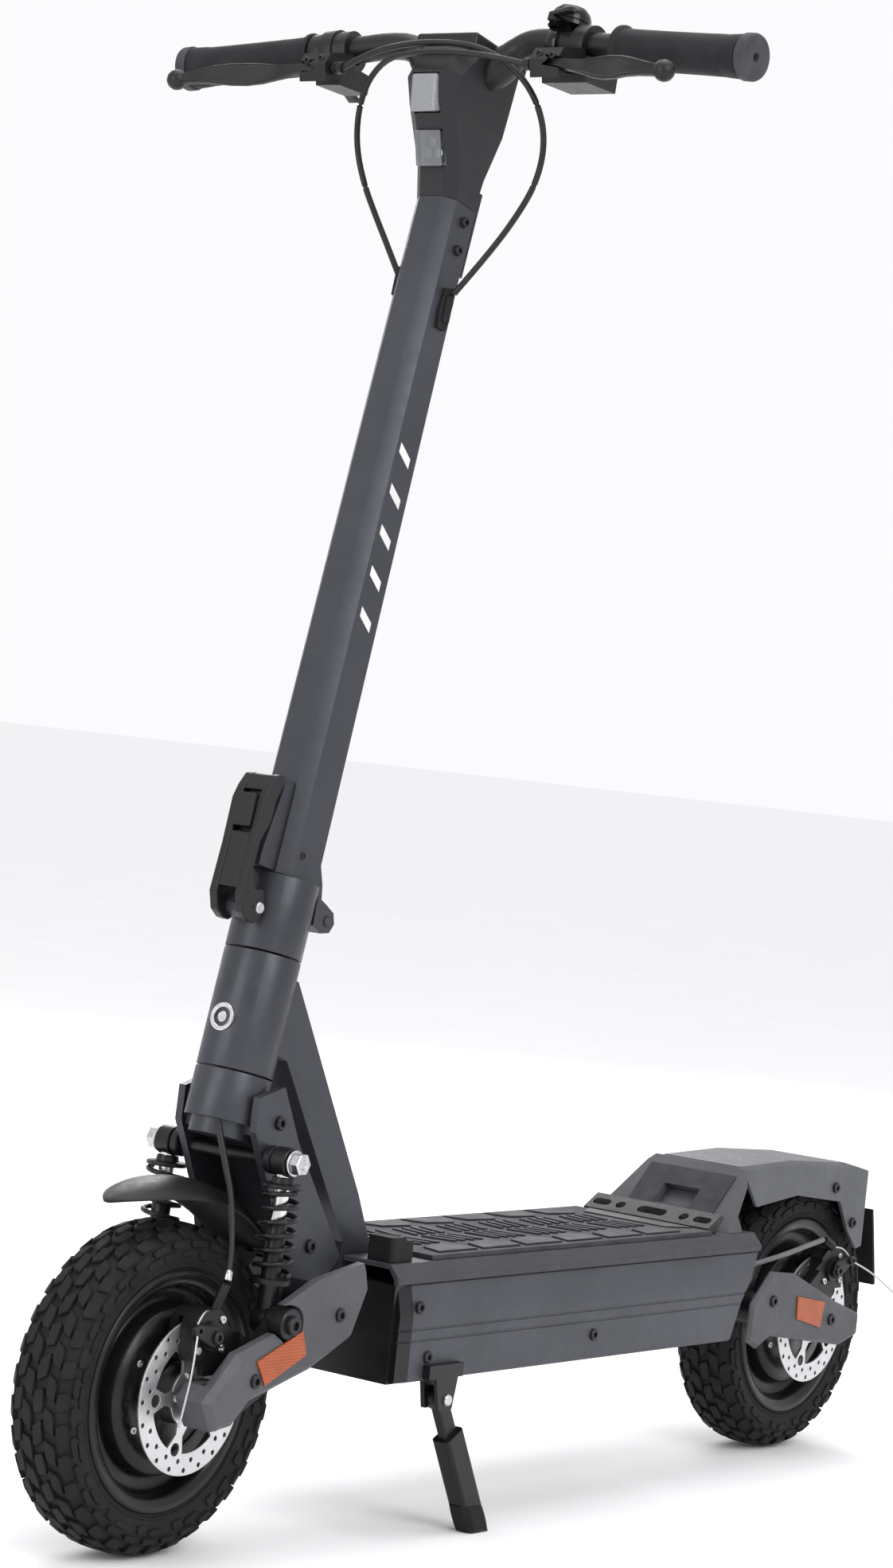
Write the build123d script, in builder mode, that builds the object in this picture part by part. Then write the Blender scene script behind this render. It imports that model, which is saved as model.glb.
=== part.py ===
from build123d import *
from math import cos, radians, sin, tan
import os

os.makedirs("parts", exist_ok=True)

# ---------------------------------------------------------------- driving dimensions (mm)
WHEELBASE = 920.0
TYRE_R = 127.5
REAR_X = -453.25                     # rear axle, measured from the middle of the whole length
FRONT_X = REAR_X + WHEELBASE
AXLE_Z = TYRE_R
RAKE = 12.6                          # steering axis, degrees back from vertical
AXIS_FOOT = 932.0                    # steering axis at the ground, ahead of the rear axle

RIM_SEAT_R = 86.0
AXLE_R = 8.0
RUNNING_GAP = 0.05
DISC_R = 60.0
DISC_Y = 44.0                        # inner face of the brake disc
DISC_T = 2.0

LEG_Y = 34.0                         # inner face of the fork leg
LEG_T = 6.5
ARM_Y = 66.0                         # inner face of the swing arm
ARM_T = 6.0
FRONT_COVER_Y = 84.0                 # outer faces of the arm covers
REAR_COVER_Y = 77.0
SHOCK_Y = 58.0                       # centre plane of a front shock

DECK_HALF = 80.0                     # half width of the deck shell
DECK_LOW = 127.0
DECK_TOP = 206.0
COVER_TOP = 222.0
WALL = 3.0

COLUMN_R = 30.5                      # neck sleeve, head tube and collar
STEERER_R = 15.0
NECK_H = (336.0, 374.0)              # heights along the steering axis
HEAD_H = (375.5, 468.5)
COLLAR_H = (470.0, 530.0)
STEM_H = (530.8, 1091.0)

BAR_ROOT = (18.0, 60.0, 1222.0)      # half bar: forward, left, up along the column
BAR_END = (29.0, 283.0, 1200.8)
BAR_R = 11.1
GRIP_R = 16.3

FOLD_PIN = (-38.0, 508.0)            # fold hinge: forward, up along the column
LEVER_PIN = (40.0, 499.0)            # folding lever pivot
FRONT_PIVOT = (800.0, 195.0)         # front swing arm pivot, ahead of the rear axle, height
REAR_PIVOT = (146.0, 150.0)
SHOCK_LOW = (855.0, 184.0)
SHOCK_HIGH = (849.0, 305.0)
CROSS_PIN_R = 5.0                    # pin through both upper shock eyes
STAND_PIVOT = (653.0, 86.0, 112.0)

RAKE_DIR = (-sin(radians(RAKE)), 0, cos(radians(RAKE)))
ACROSS_DIR = (cos(radians(RAKE)), 0, sin(radians(RAKE)))


# ---------------------------------------------------------------- planes and small helpers
def side(y):
    """Side view: x ahead of the rear axle, y up."""
    return Plane(origin=(REAR_X, y, 0), x_dir=(1, 0, 0), z_dir=(0, -1, 0))


def column_side(y):
    """Side view along the steering column: x forward of its axis, y up along it."""
    return Plane(origin=(REAR_X + AXIS_FOOT, y, 0), x_dir=ACROSS_DIR, z_dir=(0, -1, 0))


def column_across(height):
    """Section of the steering column: x forward, y to the left."""
    foot = Vector(REAR_X + AXIS_FOOT, 0, 0)
    return Plane(origin=foot + Vector(*RAKE_DIR) * height, x_dir=ACROSS_DIR, z_dir=RAKE_DIR)


def column_point(forward, left, up):
    """A point given in the column's own directions."""
    foot = Vector(REAR_X + AXIS_FOOT, left, 0)
    return foot + Vector(*ACROSS_DIR) * forward + Vector(*RAKE_DIR) * up


def wheel_section(axle_x):
    """Half section of a wheel: x across the wheel, y its radius."""
    return Plane(origin=(axle_x, 0, AXLE_Z), x_dir=(0, 1, 0), z_dir=(1, 0, 0))


def wheel_axis(axle_x):
    """The axle of a wheel."""
    return Axis((axle_x, 0, AXLE_Z), (0, 1, 0))


def wheel_face(axle_x, y):
    """The plane across an axle, seen from the left: x forward, y up."""
    return Plane(origin=(axle_x, y, AXLE_Z), x_dir=(1, 0, 0), z_dir=(0, -1, 0))


def slab(view, points, low, high):
    """A flat piece: an outline in a side view, between two distances to the left."""
    with BuildPart() as piece:
        with BuildSketch(view(high)):
            with BuildLine():
                Polyline(*points, close=True)
            make_face()
        extrude(amount=high - low)
    return piece.part


def rod(view, centre, radius, low, high):
    """A round pin across the scooter, between two distances to the left."""
    with BuildPart() as piece:
        with BuildSketch(view(high)):
            with Locations(centre):
                Circle(radius)
        extrude(amount=high - low)
    return piece.part


def both_sides(shape):
    """The shape and its mirror image on the other side of the scooter."""
    return [shape, shape.mirror(Plane.XZ)]


def corner_radii(points):
    """One radius for each corner of a route: as large as the two runs beside it allow."""
    radii = []
    for before, corner, after in zip(points, points[1:], points[2:]):
        run_in = corner - before
        run_out = after - corner
        half_turn = radians(run_in.get_angle(run_out)) / 2
        radii.append(0.45 * min(run_in.length, run_out.length) / tan(half_turn))
    return radii


def tube(points, radius):
    """A cable along straight runs joined by tangent arcs."""
    radii = corner_radii(points)
    print("cable radii", [round(value, 1) for value in radii])
    with BuildPart() as piece:
        with BuildLine() as route:
            FilletPolyline(*points, radius=radii)
        start = route.wires()[0]
        with BuildSketch(Plane(origin=start @ 0, z_dir=start % 0)):
            Circle(radius)
        sweep(path=start)
    return piece.part


# ---------------------------------------------------------------- wheels
TYRE_SHOULDER = [(20, 86), (25, 93), (29.5, 103), (30, 109), (28, 118), (22.5, 124.5), (17, TYRE_R)]
TYRE_INSIDE = [(15, 86), (18, 94), (23, 104), (22, 114), (15, 120.5)]


def opposite(points):
    """The same outline points on the other half of the wheel, in return order."""
    return [(-across, radius) for across, radius in reversed(points)]


def make_tyre(axle_x):
    """Hollow tyre casing with a flat tread."""
    outline = TYRE_SHOULDER + opposite(TYRE_SHOULDER)
    inside = opposite(TYRE_INSIDE)[::-1] + TYRE_INSIDE[::-1]
    with BuildPart() as tyre:
        with BuildSketch(wheel_section(axle_x)):
            with BuildLine():
                Polyline(*outline, *inside, close=True)
            make_face()
        revolve(axis=wheel_axis(axle_x))
    return tyre


def make_wheel(axle_x):
    """Cast rim, web and hub motor drum in one turned piece."""
    bore = AXLE_R + RUNNING_GAP
    left = [(DISC_Y, bore), (DISC_Y, 22), (28, 22), (28, 57), (24, 64), (9, 64), (9, 80), (22, 80)]
    flange = [(26.5, 92), (25, 93), (20, RIM_SEAT_R)]
    right = [(-22, 80), (-9, 80), (-9, 64), (-24, 64), (-28, 57), (-28, 18), (-40, 14), (-40, bore)]
    with BuildPart() as wheel:
        with BuildSketch(wheel_section(axle_x)):
            with BuildLine():
                Polyline(*left, *flange, *opposite(flange), *right, close=True)
            make_face()
        revolve(axis=wheel_axis(axle_x))
    return wheel


def make_disc(axle_x):
    """Brake disc: drilled ring, forked spokes and hub."""
    with BuildPart() as disc:
        with BuildSketch(wheel_face(axle_x, DISC_Y + DISC_T)):
            Circle(DISC_R)
            Circle(43, mode=Mode.SUBTRACT)
            Circle(23)
            with PolarLocations(0, 5):
                Polygon((12, -9), (30, -4), (46, -11), (46, 11), (30, 4), (12, 9), align=None)
            with PolarLocations(41, 5):
                Circle(5, mode=Mode.SUBTRACT)
            with PolarLocations(56, 20):
                Circle(1.9, mode=Mode.SUBTRACT)
            with PolarLocations(49, 20, start_angle=9):
                Circle(1.9, mode=Mode.SUBTRACT)
            Circle(AXLE_R + 1, mode=Mode.SUBTRACT)
        extrude(amount=DISC_T)
    return disc


def make_wheel_bolts(axle_x):
    """Motor cover screws on both faces and the disc's own screws."""
    screw_h = 2.0
    with BuildPart() as bolts:
        with BuildSketch(wheel_face(axle_x, 28 + screw_h)):
            with PolarLocations(52, 6):
                Circle(3.2)
        extrude(amount=screw_h)
        with BuildSketch(wheel_face(axle_x, -28)):
            with PolarLocations(52, 6):
                Circle(3.2)
        extrude(amount=screw_h)
        with BuildSketch(wheel_face(axle_x, DISC_Y + DISC_T + screw_h)):
            with PolarLocations(17, 5):
                Circle(3)
        extrude(amount=screw_h)
    return bolts


front_tyre = make_tyre(FRONT_X)
front_tyre.part.label = "front_tyre"
export_step(front_tyre.part, "parts/front_tyre.step")
rear_tyre = make_tyre(REAR_X)
rear_tyre.part.label = "rear_tyre"
export_step(rear_tyre.part, "parts/rear_tyre.step")

front_wheel = make_wheel(FRONT_X)
front_wheel.part.label = "front_wheel"
export_step(front_wheel.part, "parts/front_wheel.step")
rear_wheel = make_wheel(REAR_X)
rear_wheel.part.label = "rear_wheel"
export_step(rear_wheel.part, "parts/rear_wheel.step")

front_disc = make_disc(FRONT_X)
front_disc.part.label = "front_disc"
export_step(front_disc.part, "parts/front_disc.step")
rear_disc = make_disc(REAR_X)
rear_disc.part.label = "rear_disc"
export_step(rear_disc.part, "parts/rear_disc.step")

front_wheel_bolts = make_wheel_bolts(FRONT_X)
front_wheel_bolts.part.label = "front_wheel_bolts"
export_step(front_wheel_bolts.part, "parts/front_wheel_bolts.step")
rear_wheel_bolts = make_wheel_bolts(REAR_X)
rear_wheel_bolts.part.label = "rear_wheel_bolts"
export_step(rear_wheel_bolts.part, "parts/rear_wheel_bolts.step")

# ---------------------------------------------------------------- front swing arms
FRONT_AXLE = (WHEELBASE, AXLE_Z)
PIVOT_BORE = AXLE_R + RUNNING_GAP
FRONT_PLATE = [(800, 211), (830, 204), (868, 186), (896, 156), (932, 139), (934, 116), (900, 113),
               (832, 146), (790, 180)]
REAR_PLATE = [(146, 166), (90, 168), (46, 158), (-10, 140), (-14, 116), (10, 113), (120, 134)]

with BuildPart() as front_arms:
    add(slab(side, FRONT_PLATE, ARM_Y, ARM_Y + ARM_T))
    add(rod(side, FRONT_PIVOT, 15, LEG_Y + LEG_T + 0.5, ARM_Y + ARM_T))
    add(rod(side, SHOCK_LOW, 12, ARM_Y, ARM_Y + ARM_T + 4))
    add(rod(side, SHOCK_LOW, 4, SHOCK_Y - 7, ARM_Y))
    add(rod(side, FRONT_PIVOT, PIVOT_BORE, LEG_Y, ARM_Y + ARM_T + 1), mode=Mode.SUBTRACT)
    mirror(about=Plane.XZ)
    add(rod(side, FRONT_AXLE, AXLE_R, -ARM_Y - ARM_T, ARM_Y + ARM_T))
front_arms.part.label = "front_arms"
export_step(front_arms.part, "parts/front_arms.step")

with BuildPart() as rear_arms:
    add(slab(side, REAR_PLATE, ARM_Y, ARM_Y + ARM_T))
    add(rod(side, REAR_PIVOT, 15, LEG_Y + LEG_T + 0.5, ARM_Y + ARM_T))
    add(rod(side, REAR_PIVOT, PIVOT_BORE, LEG_Y, ARM_Y + ARM_T + 1), mode=Mode.SUBTRACT)
    mirror(about=Plane.XZ)
    add(rod(side, (0, AXLE_Z), AXLE_R, -ARM_Y - ARM_T, ARM_Y + ARM_T))
rear_arms.part.label = "rear_arms"
export_step(rear_arms.part, "parts/rear_arms.step")

FRONT_COVER = [(763, 226), (757, 206), (774, 168), (822, 147), (893, 128), (911, 111), (935, 108),
               (949, 131), (913, 165), (863, 179), (859, 199), (819, 216)]
FRONT_NOSE = [(897, 127), (911, 111), (935, 108), (949, 131), (938, 142), (905, 142)]
FRONT_TIP_WALL = [(936, 109), (949, 131), (938, 142)]
REAR_COVER = [(-35, 136), (5, 148), (90, 180), (132, 184), (162, 156), (164, 122), (146, 114), (123, 124),
              (-4, 107), (-35, 115)]
REAR_NOSE = [(-35, 136), (-18, 142), (16, 142), (24, 127), (-4, 107), (-35, 115)]
REAR_TIP_WALL = [(-35, 136), (-35, 115), (-17, 111), (-17, 141)]
COVER_GAP = 0.2                      # between a cover and the arm plate behind it


def make_cover(outline, nose, tip, axle_point, cover_y, edge):
    """Cover of a swing arm with a closed nose around the axle's end."""
    with BuildPart() as cover:
        add(slab(side, outline, ARM_Y + ARM_T + COVER_GAP, cover_y))
        outer = cover.faces().sort_by(Axis.Y)[-1]
        chamfer(outer.edges(), length=edge)
        add(slab(side, nose, ARM_Y - 12, ARM_Y - COVER_GAP))
        add(slab(side, tip, ARM_Y - 12, cover_y - edge))
        add(rod(side, axle_point, AXLE_R + 0.6, ARM_Y - 13, ARM_Y), mode=Mode.SUBTRACT)
    return cover.part


front_cover_shape = make_cover(FRONT_COVER, FRONT_NOSE, FRONT_TIP_WALL, FRONT_AXLE, FRONT_COVER_Y, 5)
with BuildPart() as front_arm_covers:
    add(front_cover_shape)
    add(rod(side, SHOCK_LOW, 15, ARM_Y, FRONT_COVER_Y + 1), mode=Mode.SUBTRACT)
    mirror(about=Plane.XZ)
front_arm_covers.part.label = "front_arm_covers"
export_step(front_arm_covers.part, "parts/front_arm_covers.step")

rear_cover_shape = make_cover(REAR_COVER, REAR_NOSE, REAR_TIP_WALL, (0, AXLE_Z), REAR_COVER_Y, 3)
with BuildPart() as rear_arm_covers:
    add(rear_cover_shape)
    mirror(about=Plane.XZ)
rear_arm_covers.part.label = "rear_arm_covers"
export_step(rear_arm_covers.part, "parts/rear_arm_covers.step")

FRONT_REFLECTOR = [(894, 159), (841, 179), (834, 160), (882, 140)]
REAR_REFLECTOR = [(86, 159), (35, 151), (40, 127), (84, 138)]
REFLECTOR_T = 1.6
with BuildPart() as front_reflectors:
    add(slab(side, FRONT_REFLECTOR, FRONT_COVER_Y, FRONT_COVER_Y + REFLECTOR_T))
    mirror(about=Plane.XZ)
front_reflectors.part.label = "front_reflectors"
export_step(front_reflectors.part, "parts/front_reflectors.step")
with BuildPart() as rear_reflectors:
    add(slab(side, REAR_REFLECTOR, REAR_COVER_Y, REAR_COVER_Y + REFLECTOR_T))
    mirror(about=Plane.XZ)
rear_reflectors.part.label = "rear_reflectors"
export_step(rear_reflectors.part, "parts/rear_reflectors.step")

# ---------------------------------------------------------------- brake calipers
CALIPER_HALF = 20.0                  # half length of the caliper body
CALIPER_LOW = 158.0
CALIPER_HIGH = 196.0
DISC_SLOT = (DISC_Y - 1.5, DISC_Y + DISC_T + 1.5)
CALIPER_LEVER_Y = 63.0
WIRE_R = 0.8


def make_caliper(body_x, bracket, bracket_foot, adjuster_from, adjuster_to):
    """Caliper over the top of the disc, with its bracket and cable adjuster."""
    block = [(body_x - CALIPER_HALF, CALIPER_LOW), (body_x - CALIPER_HALF, CALIPER_HIGH - 8),
             (body_x - 10, CALIPER_HIGH), (body_x + 10, CALIPER_HIGH),
             (body_x + CALIPER_HALF, CALIPER_HIGH - 8), (body_x + CALIPER_HALF, CALIPER_LOW)]
    slot = [(body_x - 30, CALIPER_LOW - 5), (body_x - 30, AXLE_Z + DISC_R + 2.5),
            (body_x + 30, AXLE_Z + DISC_R + 2.5), (body_x + 30, CALIPER_LOW - 5)]
    axis_dir = adjuster_to - adjuster_from
    with BuildPart() as caliper:
        add(slab(side, block, 36, 60))
        add(slab(side, bracket, 54, 60))
        add(slab(side, bracket_foot, 60, ARM_Y))
        add(slab(side, slot, *DISC_SLOT), mode=Mode.SUBTRACT)
        add(rod(side, (body_x, 176), 11, 60, CALIPER_LEVER_Y - 0.3))
        with BuildSketch(Plane(origin=adjuster_from, z_dir=axis_dir)):
            Circle(4)
        extrude(amount=axis_dir.length)
    return caliper


def make_caliper_lever(body_x, tip, tail):
    """Actuating lever of a caliper with the clamped inner wire and its loose tail."""
    lever_t = 4.0
    hub = Vector(REAR_X + body_x, CALIPER_LEVER_Y, 176)
    reach = tip - hub
    width = Vector(-reach.Z, 0, reach.X).normalized() * 6
    outline = [hub + width, hub - width, tip - width, tip + width]
    with BuildPart() as lever:
        add(slab(side, [(p.X - REAR_X, p.Z) for p in outline], CALIPER_LEVER_Y, CALIPER_LEVER_Y + lever_t))
        add(rod(side, (body_x, 176), 10, CALIPER_LEVER_Y, CALIPER_LEVER_Y + lever_t))
        add(rod(side, (tip.X - REAR_X, tip.Z), 7, CALIPER_LEVER_Y, CALIPER_LEVER_Y + lever_t + 2))
        add(tail)
    return lever


def side_points(points):
    """Route points given as ahead of the rear axle, left, up."""
    return [Vector(REAR_X + ahead, left, up) for ahead, left, up in points]


FRONT_CALIPER_X = 922.0
FRONT_TIP = Vector(REAR_X + 946, CALIPER_LEVER_Y, 183)
FRONT_BRACKET = [(872, 164), (903, 184), (930, 172), (926, 146), (893, 146), (880, 152)]
FRONT_BRACKET_FOOT = [(872, 164), (893, 178), (893, 146), (880, 152)]
FRONT_ADJUSTER = side_points([(914, 54, 190), (907, 58, 214)])
front_caliper = make_caliper(FRONT_CALIPER_X, FRONT_BRACKET, FRONT_BRACKET_FOOT, *FRONT_ADJUSTER)
front_caliper.part.label = "front_caliper"
export_step(front_caliper.part, "parts/front_caliper.step")

FRONT_TAIL = side_points([(947, 68, 181), (953, 72, 158), (958, 72, 134), (961, 70, 112)])
front_caliper_lever = make_caliper_lever(FRONT_CALIPER_X, FRONT_TIP, tube(FRONT_TAIL, WIRE_R))
front_caliper_lever.part.label = "front_caliper_lever"
export_step(front_caliper_lever.part, "parts/front_caliper_lever.step")

REAR_CALIPER_X = -4.0
REAR_TIP = Vector(REAR_X - 26, CALIPER_LEVER_Y, 185)
REAR_BRACKET = [(48, 164), (17, 184), (-14, 172), (-8, 146), (28, 146), (40, 154)]
REAR_BRACKET_FOOT = [(48, 164), (28, 178), (28, 146), (40, 154)]
REAR_ADJUSTER = side_points([(2, 62, 198), (13, 58, 204)])
rear_caliper = make_caliper(REAR_CALIPER_X, REAR_BRACKET, REAR_BRACKET_FOOT, *REAR_ADJUSTER)
rear_caliper.part.label = "rear_caliper"
export_step(rear_caliper.part, "parts/rear_caliper.step")

REAR_TAIL = side_points([(-27, 68, 184), (-52, 70, 176), (-82, 72, 162), (-112, 72, 147)])
rear_caliper_lever = make_caliper_lever(REAR_CALIPER_X, REAR_TIP, tube(REAR_TAIL, WIRE_R))
rear_caliper_lever.part.label = "rear_caliper_lever"
export_step(rear_caliper_lever.part, "parts/rear_caliper_lever.step")

CABLE_R = 2.5
REAR_CABLE = side_points([(168, 44, 178), (140, 47, 183), (108, 50, 188), (72, 54, 194),
                          (40, 57, 201), (15.6, 58.3, 205.0)])
with BuildPart() as rear_brake_cable:
    add(tube(REAR_CABLE, CABLE_R))
rear_brake_cable.part.label = "rear_brake_cable"
export_step(rear_brake_cable.part, "parts/rear_brake_cable.step")

FRONT_CABLE = side_points([(884, 16, 331), (885, 26, 306), (887, 38, 280),
                           (892, 47, 252), (899, 54, 232), (906.3, 58.4, 216)])
with BuildPart() as front_brake_cable:
    add(tube(FRONT_CABLE, CABLE_R))
front_brake_cable.part.label = "front_brake_cable"
export_step(front_brake_cable.part, "parts/front_brake_cable.step")

# ---------------------------------------------------------------- fork
LEG_OUTLINE = [(836, 360), (866, 352), (867, 325), (838, 268), (822, 214), (812, 182), (790, 178), (770, 200),
               (744, 224), (812, 316)]
with BuildPart() as fork_legs:
    add(slab(side, LEG_OUTLINE, LEG_Y, LEG_Y + LEG_T))
    add(rod(side, FRONT_PIVOT, AXLE_R, LEG_Y, ARM_Y + ARM_T))
    add(rod(side, SHOCK_HIGH, CROSS_PIN_R, LEG_Y - 1, ARM_Y), mode=Mode.SUBTRACT)
    mirror(about=Plane.XZ)
fork_legs.part.label = "fork_legs"
export_step(fork_legs.part, "parts/fork_legs.step")

WEB_OUTLINE = [(808, 304), (752, 228), (757, 224), (814, 300)]
CROWN_BLOCK = [(828, 350), (862, 344), (862, 322), (806, 300), (812, 312)]
with BuildPart() as fork_column:
    with BuildSketch(column_across(NECK_H[0])):
        Circle(COLUMN_R)
    extrude(amount=NECK_H[1] - NECK_H[0])
    with BuildSketch(column_across(NECK_H[0] - 12)):
        Circle(COLUMN_R - 6)
    extrude(amount=12)
    with BuildSketch(column_across(NECK_H[0])):
        Circle(STEERER_R - RUNNING_GAP)
    extrude(amount=COLLAR_H[1] - 20 - NECK_H[0])
    add(slab(side, CROWN_BLOCK, -LEG_Y, LEG_Y))
    add(slab(side, WEB_OUTLINE, -LEG_Y, LEG_Y))
fork_column.part.label = "fork_column"
export_step(fork_column.part, "parts/fork_column.step")

# two shocks: chrome rod, upper perch and eye on the fork, damper and lower eye on a slide
SHOCK_LEAN = Vector(SHOCK_HIGH[0] - SHOCK_LOW[0], 0, SHOCK_HIGH[1] - SHOCK_LOW[1]).normalized()
SHOCK_FOOT = Vector(REAR_X + SHOCK_LOW[0], SHOCK_Y, SHOCK_LOW[1])
SHOCK_LENGTH = SHOCK_HIGH[1] - SHOCK_LOW[1]
PERCH_R = 16.0
LOWER_PERCH = 32.0                   # heights of the two spring seats above the lower eye
UPPER_PERCH = 101.0
DAMPER_R = 7.6
ROD_R = 5.0
EYE_R = 11.0


def along_shock(height):
    """Plane across the left shock at a height above its lower eye."""
    return Plane(origin=SHOCK_FOOT + SHOCK_LEAN * height, z_dir=SHOCK_LEAN)


with BuildPart() as front_shock_upper:
    with BuildSketch(along_shock(50)):
        Circle(ROD_R)
    extrude(amount=SHOCK_LENGTH - 50)
    with BuildSketch(along_shock(UPPER_PERCH)):
        Circle(PERCH_R)
    extrude(amount=4)
    add(rod(side, SHOCK_HIGH, EYE_R, SHOCK_Y - 7, SHOCK_Y + 7))
    add(rod(side, SHOCK_HIGH, 5, SHOCK_Y - 8, SHOCK_Y + 8), mode=Mode.SUBTRACT)
    mirror(about=Plane.XZ)
front_shock_upper.part.label = "front_shock_upper"
export_step(front_shock_upper.part, "parts/front_shock_upper.step")

with BuildPart() as front_shock_lower:
    with BuildSketch(along_shock(8)):
        Circle(DAMPER_R)
    extrude(amount=66)
    with BuildSketch(along_shock(LOWER_PERCH - 4)):
        Circle(PERCH_R)
    extrude(amount=4)
    add(rod(side, SHOCK_LOW, EYE_R, SHOCK_Y - 6.5, SHOCK_Y + 6.5))
    add(rod(side, SHOCK_LOW, 6, SHOCK_Y - 8, SHOCK_Y + 8), mode=Mode.SUBTRACT)
    with BuildSketch(along_shock(30)):
        Circle(ROD_R + 0.6)
    extrude(amount=50, mode=Mode.SUBTRACT)
    mirror(about=Plane.XZ)
front_shock_lower.part.label = "front_shock_lower"
export_step(front_shock_lower.part, "parts/front_shock_lower.step")

COIL_WIRE = 1.9
COIL_R = 14.0
COIL_TURNS = 6
with BuildPart() as front_springs:
    coil_plane = along_shock(LOWER_PERCH + COIL_WIRE + 0.8)
    coil_length = UPPER_PERCH - LOWER_PERCH - 2 * COIL_WIRE - 1.8
    with BuildLine(coil_plane) as coil_line:
        Helix(pitch=coil_length / COIL_TURNS, height=coil_length, radius=COIL_R)
    coil_path = coil_line.wires()[0]
    with BuildSketch(Plane(origin=coil_path @ 0, z_dir=coil_path % 0)):
        Circle(COIL_WIRE)
    sweep(path=coil_path, is_frenet=True)
    mirror(about=Plane.XZ)
front_springs.part.label = "front_springs"
export_step(front_springs.part, "parts/front_springs.step")

BOLT_HEAD_R = 9.0
with BuildPart() as fork_bolts:
    add(rod(side, SHOCK_HIGH, CROSS_PIN_R, -70, 70))
    add(rod(side, SHOCK_HIGH, BOLT_HEAD_R, 66, 76))
    add(rod(side, SHOCK_HIGH, BOLT_HEAD_R, -76, -66))
    add(rod(side, SHOCK_HIGH, 11, 43, 50))
    add(rod(side, SHOCK_HIGH, 11, -50, -43))
fork_bolts.part.label = "fork_bolts"
export_step(fork_bolts.part, "parts/fork_bolts.step")

# front mudguard: an arched blade close over the tyre
GUARD_IN = 155.0
GUARD_OUT = 158.0
GUARD_HALF = 32.0
with BuildPart() as front_mudguard:
    with BuildSketch(wheel_face(FRONT_X, GUARD_HALF)):
        with BuildLine():
            CenterArc((0, 0), GUARD_OUT, 66, 76)
            CenterArc((0, 0), GUARD_IN, 66, 76)
            Line(PolarLine((0, 0), GUARD_IN, 66, mode=Mode.PRIVATE) @ 1,
                 PolarLine((0, 0), GUARD_OUT, 66, mode=Mode.PRIVATE) @ 1)
            Line(PolarLine((0, 0), GUARD_IN, 142, mode=Mode.PRIVATE) @ 1,
                 PolarLine((0, 0), GUARD_OUT, 142, mode=Mode.PRIVATE) @ 1)
        make_face()
    extrude(amount=2 * GUARD_HALF)
front_mudguard.part.label = "front_mudguard"
export_step(front_mudguard.part, "parts/front_mudguard.step")

# ---------------------------------------------------------------- folding joint
EAR = [(-22, 501), (-33, 497), (-44, 500), (-48, 508), (-44, 516), (-33, 520), (-20, 524)]
EAR_Y = (12.0, 24.0)
LATCH_BLOCK = [(24, 489.5), (40, 489.5), (47, 493), (49.4, 499), (47, 505), (40, 508.5), (24, 509)]
with BuildPart() as hinge_base:
    with BuildSketch(column_across(COLLAR_H[0])):
        Circle(COLUMN_R)
    extrude(amount=COLLAR_H[1] - COLLAR_H[0])
    add(slab(column_side, EAR, *EAR_Y))
    add(slab(column_side, EAR, -EAR_Y[1], -EAR_Y[0]))
    add(slab(column_side, LATCH_BLOCK, -11, 11))
    add(rod(column_side, FOLD_PIN, 4.4, -26, 26), mode=Mode.SUBTRACT)
    add(rod(column_side, LEVER_PIN, 3.05, -12, 12), mode=Mode.SUBTRACT)
    with BuildSketch(column_across(COLLAR_H[0])):
        Circle(STEERER_R)
    extrude(amount=COLLAR_H[1] - 20 - COLLAR_H[0], mode=Mode.SUBTRACT)
    add(rod(column_side, FOLD_PIN, 4.0, -25, 25))
hinge_base.part.label = "hinge_base"
export_step(hinge_base.part, "parts/hinge_base.step")

LEVER_SIDE = [(47, 488), (57, 489), (64, 504), (62, 543), (63, 580), (54, 602), (44, 602), (47, 560),
              (47, 520), (52, 500)]
LEVER_CHEEK = [(34, 490), (46, 488), (52, 500), (47, 516), (36, 512), (31, 500)]
LEVER_HOLLOW = [(40, 480), (60, 480), (55, 493), (40, 493)]
LATCH_SWEEP_R = 10.6                 # room round the lever's pin for the latch block
with BuildPart() as fold_lever:
    add(slab(column_side, LEVER_SIDE, -16, 16))
    fillet(fold_lever.edges().filter_by(Axis.Y), radius=2)
    add(rod(column_side, LEVER_PIN, LATCH_SWEEP_R, -11.5, 11.5), mode=Mode.SUBTRACT)
    add(slab(column_side, LEVER_HOLLOW, -11.5, 11.5), mode=Mode.SUBTRACT)
    add(slab(column_side, LEVER_CHEEK, 11.5, 16))
    add(slab(column_side, LEVER_CHEEK, -16, -11.5))
    add(slab(column_side, [(55, 556), (70, 556), (70, 584), (55, 584)], -9.3, 9.3), mode=Mode.SUBTRACT)
    add(rod(column_side, LEVER_PIN, 3, -20, 20))
    add(rod(column_side, LEVER_PIN, 5, 16, 20))
    add(rod(column_side, LEVER_PIN, 5, -20, -16))
fold_lever.part.label = "fold_lever"
export_step(fold_lever.part, "parts/fold_lever.step")

with BuildPart() as fold_button:
    add(slab(column_side, [(57, 557), (65, 557), (66, 583), (57, 583)], -8.9, 8.9))
fold_button.part.label = "fold_button"
export_step(fold_button.part, "parts/fold_button.step")

# ---------------------------------------------------------------- stem
STEM_FOOT = [(26, 13), (16, 22), (-17, 22), (-27, 13), (-27, -13), (-17, -22), (16, -22), (26, -13)]
STEM_HEAD = [(21, 11), (12, 20), (-14, 20), (-22, 12), (-22, -12), (-14, -20), (12, -20), (21, -11)]
STEM_WALL = 2.6
STEM_LUG = [(-22, 531), (-27, 556), (-38, 536), (-45, 512), (-45, 508), (-31.4, 508), (-31.4, 531)]
LATCH_PLATE = [(21, 532), (45, 532), (45, 545), (36, 600), (21, 604)]


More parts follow.
